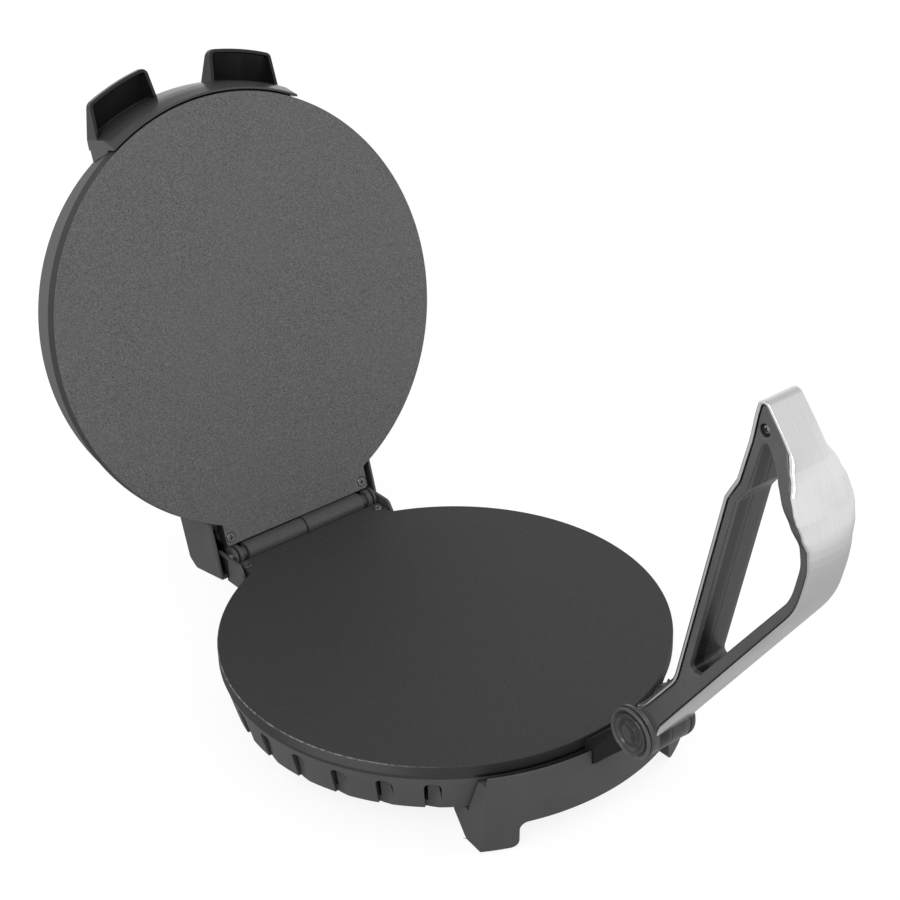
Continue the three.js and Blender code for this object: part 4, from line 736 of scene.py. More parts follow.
class Value:
    """A socket that takes part in sums, products and mixes."""

    def __init__(self, graph: "Graph", socket: bpy.types.NodeSocket) -> None:
        """Keeps the socket.

        Args:
            graph: the graph the socket belongs to.
            socket: the socket.
        """
        self.graph = graph
        self.socket = socket

    def _maths(self, operation: str, first: Number, second: Number) -> "Value":
        """Adds a Math node."""
        return self.graph.node("ShaderNodeMath", {"operation": operation}, {0: first, 1: second})

    def __add__(self, other: Number) -> "Value":
        """Sum."""
        return self._maths("ADD", self, other)

    def __radd__(self, other: Number) -> "Value":
        """Sum, reflected."""
        return self._maths("ADD", other, self)

    def __sub__(self, other: Number) -> "Value":
        """Difference."""
        return self._maths("SUBTRACT", self, other)

    def __rsub__(self, other: Number) -> "Value":
        """Difference, reflected."""
        return self._maths("SUBTRACT", other, self)

    def __mul__(self, other: Number) -> "Value":
        """Product."""
        return self._maths("MULTIPLY", self, other)

    def ramp(self, low: float, high: float, to_low: float = 0.0, to_high: float = 1.0) -> "Value":
        """The value carried from one range to another and held at its ends.

        Args:
            low: value that gives to_low.
            high: value that gives to_high.
            to_low: low end of the result.
            to_high: high end of the result.

        Returns:
            The mapped value.
        """
        inputs = {"Value": self, "From Min": low, "From Max": high, "To Min": to_low, "To Max": to_high}
        return self.graph.node("ShaderNodeMapRange", {"clamp": True, "interpolation_type": "SMOOTHSTEP"}, inputs)


class Graph:
    """The nodes of a material or the world around one shader."""

    def __init__(self, owner: Union[bpy.types.Material, bpy.types.World], kind: str = "BSDF_PRINCIPLED") -> None:
        """Starts from the owner's first nodes.

        Args:
            owner: a new material or world.
            kind: Blender's type of the shader.
        """
        owner.use_nodes = True
        self.tree = owner.node_tree
        self.shader = next(node for node in self.tree.nodes if node.type == kind)

    def node(
        self,
        kind: str,
        settings: Optional[dict[str, Any]] = None,
        inputs: Optional[dict[Union[str, int], Any]] = None,
        output: Union[str, int] = 0,
    ) -> Value:
        """Adds a node.

        Args:
            kind: Blender's name of the node.
            settings: its own settings, set first.
            inputs: values or links of its sockets.
            output: the socket to carry on from.

        Returns:
            The output as a value.
        """
        made = self.tree.nodes.new(kind)
        for key, value in (settings or {}).items():
            setattr(made, key, value)
        for key, value in (inputs or {}).items():
            self._set(made.inputs[key], value)
        return Value(self, made.outputs[output])

    def _set(self, socket: bpy.types.NodeSocket, value: Any) -> None:
        """Gives a socket what it works with.

        Args:
            socket: the socket.
            value: a value to link, a plain colour or a number.
        """
        if isinstance(value, Value):
            self.tree.links.new(value.socket, socket)
        elif socket.type == "RGBA":
            socket.default_value = (*value, 1.0)
        else:
            socket.default_value = value

    def place(self, stretch: Sequence[float] = (1.0, 1.0, 1.0)) -> Value:
        """Object coordinates, stretched.

        Args:
            stretch: factor along each axis.

        Returns:
            The coordinates.
        """
        raw = self.node("ShaderNodeTexCoord", output="Object")
        return self.node("ShaderNodeMapping", inputs={"Vector": raw, "Scale": tuple(stretch)})

    def noise(self, scale: float, detail: float = 2.0, rough: float = 0.5, at: Optional[Value] = None) -> Value:
        """Smooth noise.

        Args:
            scale: features per metre.
            detail: octaves.
            rough: weight of the finer octaves.
            at: coordinates.

        Returns:
            A value about one half.
        """
        inputs = {"Vector": at or self.place(), "Scale": scale, "Detail": detail, "Roughness": rough}
        return self.node("ShaderNodeTexNoise", inputs=inputs, output="Fac")

    def cells(self, scale: float) -> Value:
        """Distance to the nearest of points scattered at a scale per metre."""
        return self.node("ShaderNodeTexVoronoi", inputs={"Vector": self.place(), "Scale": scale}, output="Distance")

    def rays(self) -> tuple[Value, Value]:
        """One where the camera looks straight, and one where it looks by way of a reflection."""
        path = self.tree.nodes.new("ShaderNodeLightPath")
        return Value(self, path.outputs["Is Camera Ray"]), Value(self, path.outputs["Is Glossy Ray"])

    def away_from(self, centre: Sequence[Optional[float]]) -> Value:
        """Distance from a point, an axis or a plane of the drawing.

        Args:
            centre: its place along each axis, or None for an axis that doesn't count.

        Returns:
            The distance in metres.
        """
        counted = tuple(0.0 if place is None else 1.0 for place in centre)
        middle = tuple(-(place or 0.0) for place in centre)
        raw = self.node("ShaderNodeAttribute", {"attribute_name": "drawn"}, output="Vector")
        shifted = self.node("ShaderNodeVectorMath", {"operation": "ADD"}, {0: raw, 1: middle})
        masked = self.node("ShaderNodeVectorMath", {"operation": "MULTIPLY"}, {0: shifted, 1: counted})
        return self.node("ShaderNodeVectorMath", {"operation": "LENGTH"}, {0: masked}, "Value")

    def within(self, centre: Sequence[Optional[float]], near: float, far: float) -> Value:
        """One as far as near from a point, an axis or a plane, and zero from far on."""
        return self.away_from(centre).ramp(near, far, 1.0, 0.0)

    def tones(self, share: Number, colour: Colour, low: float, high: float) -> Value:
        """A mix of two tints of one colour."""
        return self.mix(share, tint(colour, low), tint(colour, high))

    def mix(self, share: Number, first: Union[Colour, Value], second: Union[Colour, Value]) -> Value:
        """Mixes two colours.

        Args:
            share: share of the second.
            first: one colour.
            second: the other.

        Returns:
            The mixed colour.
        """
        return self.node("ShaderNodeMix", {"data_type": "RGBA"}, {0: share, 6: first, 7: second}, 2)

    def bump(self, height: Value, distance: float, strength: float = 1.0) -> None:
        """Feeds a height into the shader's normal.

        Args:
            height: the height, about 0 to 1.
            distance: what a height of one stands for, in metres.
            strength: how strongly it shows.
        """
        normal = self.node(
            "ShaderNodeBump", inputs={"Height": height, "Distance": distance, "Strength": strength}, output="Normal"
        )
        self.tree.links.new(normal.socket, self.shader.inputs["Normal"])

    def feed(self, **sockets: Any) -> None:
        """Feeds the shader's sockets; an underscore in a name stands for a space."""
        for key, value in sockets.items():
            self._set(self.shader.inputs[key.replace("_", " ")], value)


# Finishes


@dataclass(frozen=True)
class Finish:
    """What every finish has: a name, its colour and the record's slot."""

    name: str
    slot: str
    colour: Colour

    def dress(self, graph: Graph) -> None:
        """Builds the nodes; each kind of finish has its own."""
        raise NotImplementedError

    def material(self) -> bpy.types.Material:
        """The material, built once.

        Returns:
            The material.
        """
        found = bpy.data.materials.get(self.name)
        if found is None:
            found = bpy.data.materials.new(self.name)
            self.dress(Graph(found))
        return found


@dataclass(frozen=True)
class CastCoat(Finish):
    """Non-stick coat on cast aluminium: a fine pebbled skin with light specks."""

    sparkle: float = 0.5
    roughness: float = 0.5
    grain_per_metre: float = 1250.0
    specular: float = 0.4
    side_colour: Colour = (0.03, 0.03, 0.031)
    face_height: float = 0.0
    hinge_reach: float = 0.0064
    hinge_colour: Colour = (0.066, 0.066, 0.067)
    rim_radius: float = 0.1269
    gap_depths: Flat = (0.0056, 0.0066)
    gap_y: float = -0.112
    gap_reach: Flat = (0.066, 0.07)
    lit_place: Flat = (-0.113, -0.057)
    lit_reach: Flat = (0.012, 0.05)
    # Strength of the pale upper edge: a rubbed edge plus a painted highlight on its lit side.
    worn_and_lit_edge: float = 0.0

    def dress(self, graph: Graph) -> None:
        """Pebbles, specks, a broad unevenness, darker sides, hinge tubes in a tone of their own, and on the rim a
        rubbed upper edge with a painted highlight, painted shade and painted light.

        Args:
            graph: the material's nodes.
        """
        pebbles = graph.noise(self.grain_per_metre, 3.0, 0.6)
        fine = graph.noise(self.grain_per_metre * 2.2, 2.0, 0.7)
        broad = graph.noise(16.0, 3.0, 0.5)
        grain = (pebbles * 0.55 + fine * 0.45).ramp(0.36, 0.66)
        colour = graph.tones(grain, self.colour, 1 - 0.45 * self.sparkle, 1 + 0.6 * self.sparkle)
        uneven = graph.mix(broad.ramp(0.35, 0.65, 0.0, 0.25), colour, tint(self.colour, 1.18))
        specks = graph.cells(self.grain_per_metre * 0.9).ramp(0.05, 0.12, 0.35 * self.sparkle, 0.0)
        coat = graph.mix(specks, uneven, tint(self.colour, 4.0))
        down = graph.away_from((None, None, self.face_height))
        side = down.ramp(0.0003, 0.0006)
        coat = graph.mix(side, coat, graph.tones(grain, self.side_colour, 0.85, 1.15))
        tube = graph.within((None, HINGE_Y * MM, HINGE_Z * MM), self.hinge_reach, self.hinge_reach + 0.0006)
        dressed = graph.mix(tube, coat, graph.tones(grain, self.hinge_colour, 0.75, 1.3))
        if self.worn_and_lit_edge:
            dressed = self._wear_and_painted_light(graph, dressed, down, side)
        graph.feed(
            Base_Color=dressed,
            Roughness=self.roughness + (grain - 0.5) * -0.14 + (broad - 0.5) * 0.12 - tube * 0.2,
            Specular_IOR_Level=self.specular,
        )
        graph.bump(pebbles * 0.6 + fine * 0.4, 0.00012, 0.5)

    def _wear_and_painted_light(self, graph: Graph, dressed: Value, down: Value, side: Value) -> Value:
        """The rubbed upper edge with a painted highlight on its lit left side, painted shade in the gap behind the
        bracket's lip and painted light on the left part of the rim.

        Args:
            graph: the material's nodes.
            dressed: the colour so far.
            down: depth below the cooking face.
            side: one on the sides, zero on the face.

        Returns:
            The worn colour.
        """
        out = graph.away_from((0.0, 0.0, None)).ramp(self.rim_radius, self.rim_radius + 0.0003)
        edge = down.ramp(0.0003, 0.0008, 1.0, 0.0)
        # Painted highlight: the rubbed upper edge is painted pale only on the left, where the light falls.
        lit_left_side = graph.within((-self.rim_radius, None, None), *self.lit_reach)
        patchy = graph.noise(420.0, 5.0, 0.8).ramp(0.4, 0.62, 0.1, 1.0)
        dressed = graph.mix(out * edge * lit_left_side * patchy * self.worn_and_lit_edge, dressed, (0.4, 0.4, 0.4))
        # Painted shade: the gap behind the bracket's lip is painted black.
        gap = down.ramp(*self.gap_depths) * graph.within((0.0, self.gap_y, None), *self.gap_reach)
        dressed = graph.mix(gap, dressed, PAINTED_SHADE_BLACK)
        # Painted light: the left part of the rim is painted lighter where the light falls.
        lit = graph.within((*self.lit_place, None), *self.lit_reach) * side
        return graph.mix(lit * down.ramp(*self.gap_depths, 0.6, 0.0), dressed, (0.1, 0.1, 0.1))


@dataclass(frozen=True)
class Moulded(Finish):
    """Moulded plastic with a fine spark-eroded grain."""

    roughness: float = 0.5
    grain_per_metre: float = 1700.0
    grain_depth: float = 0.00005
    specular: float = 0.5
    shaded_ears: bool = False
    painted_shade_y: Corner = (0.1446, 0.0102, 0.0106)
    painted_shade_z: Corner = (-0.0125, 0.0142, 0.0146)
    painted_shade_beyond: Flat = (0.0535, 0.054)
    shaded_vents: bool = False
    skirt_radius: float = 0.12912
    skirt_slope: float = 0.2484
    vent_depths: Flat = (0.0006, 0.0016)

    def dress(self, graph: Graph) -> None:
        """Fine grain, soft cloudiness, a little dust, and painted shade where the piece lies deep: black beside the
        hinge ears, darker floors in the vents.

        Args:
            graph: the material's nodes.
        """
        grain = graph.noise(self.grain_per_metre, 2.0, 0.6)
        clouds = graph.noise(22.0, 4.0, 0.55)
        colour = graph.tones(clouds.ramp(0.3, 0.7), self.colour, 0.9, 1.1)
        dust = graph.cells(260.0).ramp(0.03, 0.07, 0.25, 0.0)
        dusty = graph.mix(dust, colour, tint(self.colour, 1.6))
        # Painted shade: the hollow behind and below the hinge ears is painted black.
        if self.shaded_ears:
            behind = graph.within((None, self.painted_shade_y[0], None), *self.painted_shade_y[1:])
            below = graph.within((None, None, self.painted_shade_z[0]), *self.painted_shade_z[1:])
            sides = graph.away_from((0.0, None, None)).ramp(*self.painted_shade_beyond)
            dusty = graph.mix(behind * below * sides, dusty, PAINTED_SHADE_BLACK)
        # Painted shade: the deeper parts of the vents are painted darker.
        if self.shaded_vents:
            skin = self.skirt_radius - graph.away_from((None, None, 0.0)) * self.skirt_slope
            depth = skin - graph.away_from((0.0, 0.0, None))
            dusty = graph.mix(depth.ramp(*self.vent_depths, 0.0, 0.4), dusty, tint(self.colour, 0.1))
        graph.feed(
            Base_Color=dusty,
            Roughness=self.roughness + (clouds - 0.5) * 0.16 + (grain - 0.5) * 0.1,
            Specular_IOR_Level=self.specular,
        )
        graph.bump(grain, self.grain_depth, 0.5)


@dataclass(frozen=True)
class GlossMoulded(Finish):
    """Black plastic from a polished mould, with hairlines and handling marks."""

    roughness: float = 0.2
    specular: float = 0.5
    shaded_walls: bool = False
    painted_sheen_within: float = 0.0

    def dress(self, graph: Graph) -> None:
        """A smooth skin whose gloss wanders a little, with painted shade on the walls inside the lever's loop and a
        painted reflection that makes the collar paler inside a radius.

        Args:
            graph: the material's nodes.
        """
        ripple = graph.noise(45.0, 3.0, 0.5)
        smear = graph.noise(70.0, 4.0, 0.6, graph.place((1.0, 0.35, 0.35)))
        hair = graph.noise(1.0, 1.0, 0.4, graph.place((2600.0, 70.0, 70.0))).ramp(0.66, 0.74)
        skin = graph.noise(1500.0, 2.0, 0.6)
        colour = graph.mix(smear.ramp(0.4, 0.7, 0.0, 0.5), self.colour, tint(self.colour, 1.5))
        # Painted reflection: the collar inside this radius is painted paler, standing in for the bright room it
        # reflects.
        if self.painted_sheen_within:
            band = graph.within((0.0, 0.0, None), self.painted_sheen_within, self.painted_sheen_within + 0.001)
            colour = graph.mix(band, colour, tint(self.colour, 4.5))
        # Painted shade: the walls inside the lever's loop are painted near black, more so on the near half.
        if self.shaded_walls:
            inside = graph.within((0.0, None, None), 0.0086, 0.0092)
            near = graph.away_from((-0.0095, None, None)).ramp(0.0055, 0.0095, 0.85, 0.3)
            beyond = graph.away_from((None, PIVOT_Y * MM, PIVOT_Z * MM)).ramp(0.028, 0.032)
            colour = graph.mix(inside * near * beyond, colour, (0.004, 0.004, 0.004))
        graph.feed(
            Base_Color=colour,
            Roughness=self.roughness + smear.ramp(0.45, 0.75) * 0.1 + hair * 0.06 + (ripple - 0.5) * 0.06,
            Specular_IOR_Level=self.specular,
        )
        graph.bump(ripple * 0.9 + skin * 0.1, 0.00012, 0.35)


@dataclass(frozen=True)
class Brushed(Finish):
    """Stainless strip brushed along its length."""

    roughness: float = 0.3

    def dress(self, graph: Graph) -> None:
        """Fine lines across the width that run on along the strip.

        Args:
            graph: the material's nodes.
        """
        lines = graph.noise(1.0, 3.0, 0.65, graph.place((5200.0, 26.0, 26.0)))
        broad = graph.noise(1.0, 2.0, 0.5, graph.place((420.0, 9.0, 9.0)))
        smudge = graph.noise(34.0, 4.0, 0.55).ramp(0.5, 0.78)
        colour = graph.tones(lines.ramp(0.25, 0.75), self.colour, 0.93, 1.04)
        graph.feed(
            Base_Color=graph.mix(smudge * 0.3, colour, tint(self.colour, 0.8)),
            Metallic=1.0,
            Roughness=self.roughness + (lines - 0.5) * 0.1 + (broad - 0.5) * 0.06 + smudge * 0.06,
        )
        graph.bump(lines * 0.7 + broad * 0.3, 0.000008, 0.4)


@dataclass(frozen=True)
class PlainMetal(Finish):
    """Turned, drawn or pressed metal, bright or blackened."""

    roughness: float = 0.35

    def dress(self, graph: Graph) -> None:
        """Mottled metal with rubbed patches.

        Args:
            graph: the material's nodes.
        """
        mottle = graph.noise(600.0, 4.0, 0.6)
        rub = graph.noise(180.0, 3.0, 0.5).ramp(0.5, 0.7)
        colour = graph.tones(mottle, self.colour, 0.8, 1.2)
        graph.feed(
            Base_Color=graph.mix(rub * 0.4, colour, tint(self.colour, 1.7)),
            Metallic=0.9,
            Roughness=self.roughness + (mottle - 0.5) * 0.2 - rub * 0.08,
        )
        graph.bump(mottle, 0.00003, 0.4)


@dataclass(frozen=True)
class Matte(Finish):
    """Rubber or ceramic: a dull, slightly porous surface."""

    roughness: float = 0.85

    def dress(self, graph: Graph) -> None:
        """Pores and a dusty bloom.

        Args:
            graph: the material's nodes.
        """
        pores = graph.noise(1300.0, 3.0, 0.7)
        bloom = graph.noise(90.0, 3.0, 0.5)
        graph.feed(
            Base_Color=graph.mix(bloom.ramp(0.35, 0.75, 0.0, 0.6), self.colour, tint(self.colour, 1.5)),
            Roughness=self.roughness + (pores - 0.5) * 0.2,
        )
        graph.bump(pores, 0.0001, 0.5)


@dataclass(frozen=True)
class Lens(Finish):
    """A small coloured lamp lens."""

    def dress(self, graph: Graph) -> None:
        """A clear coat over a cloudy coloured body.

        Args:
            graph: the material's nodes.
        """
        cloud = graph.noise(500.0, 2.0, 0.5)
        graph.feed(
            Base_Color=graph.tones(cloud, self.colour, 0.7, 1.4),
            Roughness=0.12 + cloud * 0.1,
            Coat_Weight=0.6,
        )
        graph.bump(cloud, 0.00004, 0.3)


LOWER_PLATE = CastCoat(
    "coat of the lower plate", "plate_lower", (0.036, 0.036, 0.037), sparkle=0.4, roughness=0.62,
    side_colour=(0.034, 0.034, 0.035), worn_and_lit_edge=0.8)
UPPER_PLATE = CastCoat(
    "coat of the upper plate", "plate_upper", (0.108, 0.108, 0.111), sparkle=1.15, roughness=0.55,
    side_colour=(0.017, 0.017, 0.018), face_height=0.002)
CASING = Moulded("casing", "casing", (0.068, 0.069, 0.072), roughness=0.52)
SKIRT = Moulded("casing with painted shade in the vents", "casing", (0.078, 0.079, 0.082), roughness=0.52, shaded_vents=True)
SATIN = Moulded("satin plastic", "satin_plastic", (0.073, 0.074, 0.076), roughness=0.46)
EARS = Moulded("satin plastic with painted shade at the hinge", "satin_plastic", (0.073, 0.074, 0.076), roughness=0.46, shaded_ears=True)
BLACK = GlossMoulded("polished black plastic", "black_plastic", (0.02, 0.02, 0.021), roughness=0.17)
GRIP_BLACK = GlossMoulded(
    "black of the grips with a painted sheen on the collar", "black_plastic", (0.013, 0.013, 0.0135), roughness=0.2, specular=0.3, painted_sheen_within=0.133)
LEVER_BLACK = GlossMoulded(
    "satin black of the lever with painted shade in the loop", "black_plastic", (0.08, 0.08, 0.081), roughness=0.26, shaded_walls=True)
# The caps are a lighter copy of the black plastic, painted lighter to stand in for the highlights they catch.
CAP_BLACK = GlossMoulded("polished caps painted lighter", "black_plastic", (0.052, 0.052, 0.053), roughness=0.1)
STRIP = Brushed("brushed strip", "brushed_steel", (0.78, 0.78, 0.78), roughness=0.2)
SCREW = PlainMetal("blackened screws", "dark_screw", (0.09, 0.09, 0.092), roughness=0.32)
HINGE_SCREW = PlainMetal("rubbed hinge screws", "dark_screw", (0.26, 0.26, 0.26), roughness=0.3)
BRIGHT = PlainMetal("bright sheet and rod", "sheet_steel", (0.55, 0.55, 0.53), roughness=0.3)
CERAMIC = Matte("ceramic", "ceramic", (0.62, 0.58, 0.5), roughness=0.6)
RUBBER = Matte("rubber", "rubber", (0.016, 0.016, 0.016))
RED_LENS = Lens("red lens", "lamp_red", (0.42, 0.02, 0.015))
GREEN_LENS = Lens("green lens", "lamp_green", (0.02, 0.25, 0.05))


# Where the drawings go


@dataclass(frozen=True)
class Stance:
    """The places of the two axles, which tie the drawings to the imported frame."""

    hinge: Vector
    pivot: Vector

    @classmethod
    def of_frame(cls, frame: dict[str, Any]) -> "Stance":
        """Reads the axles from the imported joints."""
        places = {joint["name"]: Vector(joint["pos_m"]) for joint in frame["joints"]}
        return cls(hinge=places["lid_hinge"], pivot=places["lever_pivot"])

    def matrix(self, body: Body) -> Matrix:
        """The matrix from a body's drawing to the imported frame.

        Args:
            body: the body.

        Returns:
            The matrix.
        """
        scale = Matrix.Scale(MM, 4)
        if body is Body.LEVER:
            return Matrix.Translation(self.pivot) @ spun(LEVER_OPEN_DEG, "X") @ scale
        home = Matrix.Translation((0.0, -HINGE_Y, -HINGE_Z))
        if body is Body.BASE:
            return Matrix.Translation(self.hinge) @ scale @ home
        return Matrix.Translation(self.hinge) @ spun(-LID_OPEN_DEG, "X") @ scale @ home


class Bench:
    """Fits finished solids into the frame as named pieces."""

    def __init__(self, stance: Stance) -> None:
        """Keeps the stance.

        Args:
            stance: where the drawings go.
        """
        self.stance = stance
        self.fitted: list[str] = []

    def fit(
        self, body: Body, name: str, solid: Solid, finish: Finish, *nodes: str, smooth_deg: float = 32.0
    ) -> None:
        """Makes a solid a piece of the object.

        Args:
            body: the body it rides on.
            name: the piece's name.
            solid: its drawing.
            finish: its finish.
            nodes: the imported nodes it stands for.
            smooth_deg: turns up to this are shaded smoothly.
        """
        mesh = solid.mesh.copy()
        places = [0.0] * (3 * len(mesh.vertices))
        mesh.vertices.foreach_get("co", places)
        drawn = mesh.attributes.new("drawn", "FLOAT_VECTOR", "POINT")
        drawn.data.foreach_set("vector", [value * MM for value in places])
        mesh.transform(self.stance.matrix(body))
        mesh.polygons.foreach_set("use_smooth", [True] * len(mesh.polygons))
        mesh.set_sharp_from_angle(angle=math.radians(smooth_deg))
        draft = linked("blank", mesh)
        weigh = draft.modifiers.new("weigh", "WEIGHTED_NORMAL")
        weigh.keep_sharp = True
        weigh.weight = 50
        final = Solid.applied(draft).mesh
        bpy.data.objects.remove(draft)
        final.materials.clear()
        final.materials.append(finish.material())
        final.polygons.foreach_set("material_index", [0] * len(final.polygons))
        final.name = name
        piece = linked(name, final)
        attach(piece, body.value)
        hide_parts(*nodes)
        self.fitted.append(name)
        log.info("%s: %d faces for %s", name, len(final.polygons), ", ".join(nodes))

    @staticmethod
    def dress_node(frame: dict[str, Any], node: str, finish: Finish) -> None:
        """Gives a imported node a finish.

        Args:
            frame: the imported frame.
            node: the node.
            finish: its finish.
        """
        target = frame["nodes"][node]
        target.data.materials.clear()
        target.data.materials.append(finish.material())
        log.info("%s keeps its solid, in %s", node, finish.name)


# Fasteners


@dataclass
class CrossScrew:
    """A screw with a cross recess, drawn with the top of its head at the origin."""

    head_radius: float = 2.75
    shank_radius: float = 1.45
    length: float = 14.0
    head_height: float = 1.7
    recess_reach: float = 1.65
    recess_half: float = 0.46
    recess_depth: float = 1.5
    countersunk: bool = True

    def _recess(self) -> Solid:
        """The tapering cross that the driver fits.

        Returns:
            The cutting shape.
        """
        reach, half, depth = self.recess_reach, self.recess_half, self.recess_depth
        deep = reach * 0.45
        sections = []
        for station, arm in ((-depth, deep), (0.6, reach * 1.15)):
            cross = [
                (arm, -half), (arm, half), (half, half), (half, arm), (-half, arm), (-half, half),
                (-arm, half), (-arm, -half), (-half, -half), (-half, -arm), (half, -arm), (half, -half),
            ]
            sections.append([Vector((x, y, station)) for x, y in cross])
        return Solid.swept(sections)

    def build(self) -> Solid:
        """The screw.

        Returns:
            The screw.
        """
        if self.countersunk:
            profile = [
                (0, -self.length), (self.shank_radius, -self.length + 0.6),
                (self.shank_radius, -self.head_height), (self.head_radius - 0.12, -0.25),
                (self.head_radius, -0.12), (self.head_radius - 0.15, 0), (0, 0),
            ]
        else:
            dome = arc(self.head_radius * 1.6, 90, 55, 5, (0, -self.head_radius * 1.6))
            top = [(min(r, self.head_radius - 0.1), z) for r, z in dome]
            profile = [
                (0, -self.length), (self.shank_radius, -self.length + 0.6), (self.shank_radius, -self.head_height),
                (self.head_radius, -self.head_height), (self.head_radius, -self.head_height * 0.62),
                *reversed([point for point in top if point[0] < self.head_radius - 0.12]),
            ]
        return Solid.turned(profile, 32).cut(self._recess())


# Cooking plates


@dataclass
class CookingPlate:
    """The casting used for both plates: disc, hinge tab and its own two knuckles."""

    radius: float = 127.5
    thickness: float = 8.25
    edge_round: float = 0.55
    tab_half_width: float = 52.0
    tab_edge: float = 130.2
    tab_corner: float = 2.0
    tube_radius: float = 6.0
    bore_radius: float = 2.65
    knuckles: tuple[Flat, ...] = ((-42.4, -0.45), (43.1, 52.0))
    lug_waist: float = 3.1
    lug_waist_radius: float = 4.0
    web_top: float = -1.2
    web_depth: float = 4.4
    sink_radius: float = 3.3
    sink_depth: float = 2.0

    def _outline(self) -> list[Flat]:
        """Plan of the disc and its tab.

        Returns:
            The outline, anticlockwise.
        """
        join_y = math.sqrt(self.radius**2 - self.tab_half_width**2)
        join = math.degrees(math.atan2(join_y, self.tab_half_width))
        disc = arc(self.radius, 180 - join, 360 + join, 300)
        half, edge, corner = self.tab_half_width, self.tab_edge, self.tab_corner
        right = arc(corner, 0, 90, 5, (half - corner, edge - corner))
        left = arc(corner, 90, 180, 5, (-half + corner, edge - corner))
        return disc + right + left

    def _knuckle(self, start: float, end: float) -> Solid:
        """One length of the hinge tube with softened ends.

        Args:
            start: its left end.
            end: its right end.

        Returns:
            The knuckle.
        """
        soft = 0.45
        outer, inner = self.tube_radius, self.bore_radius
        profile = [(inner, start)]
        if end - start < 20:
            waist, start = self.lug_waist_radius, start + self.lug_waist
            profile += [(waist, start - self.lug_waist), (waist, start)]
        profile += [
            (outer - soft, start), (outer, start + soft), (outer, end - soft), (outer - soft, end), (inner, end),
        ]
        tube = Solid.turned(profile, 48, Axis.X, (0, HINGE_Y, HINGE_Z))
        if end - start > 20:
            return tube
        notch = Solid.block((-0.7, 3.4, -9), (0.7, 9, 9))
        place = Matrix.Translation((end - 2.4, HINGE_Y, HINGE_Z))
        return tube.cut(*(notch.moved(place @ spun(angle, "X")) for angle in (-100, -160, 80, 140)))

    def _web(self, start: float, end: float) -> Solid:
        """The web between tab and tube.

        Args:
            start: left end of its knuckle.
            end: right end of it.

        Returns:
            The web.
        """
        start += self.lug_waist if end - start < 20 else 0
        low = (start + 0.1, self.tab_edge - 3, self.web_top - self.web_depth)
        high = (end - 0.1, HINGE_Y - self.bore_radius - 0.4, self.web_top)
        return Solid.block(low, high).softened(0.3)

    def build(self) -> Solid:
        """The whole casting, cooking face up.

        Returns:
            The casting.
        """
        disc = Solid.prism(self._outline(), Plane.XY, -self.thickness, 0).softened(self.edge_round, 3, 50)
        sink = Solid.turned([
            (0, -self.thickness - 1), (SCREW_HOLE, -self.thickness - 1), (SCREW_HOLE, -self.sink_depth),
            (self.sink_radius, -0.2), (self.sink_radius + 0.25, 0.05), (self.sink_radius + 0.25, 1), (0, 1),
        ], 40)
        return disc.cut(Repeats.at(sink, pair(SCREW_X, SCREW_Y, 0))).beside(
            *(self._knuckle(*span) for span in self.knuckles), *(self._web(*span) for span in self.knuckles)
        )


def turned_over(solid: Solid, gap: float = 2.0) -> Solid:
    """A drawing for the base turned over into the closed lid.

    Args:
        solid: the drawing.
        gap: distance between the two cooking faces.

    Returns:
        The turned drawing.
    """
    return solid.moved(Matrix.Translation((0, 0, gap)) @ spun(180, "Y"))


# Casings


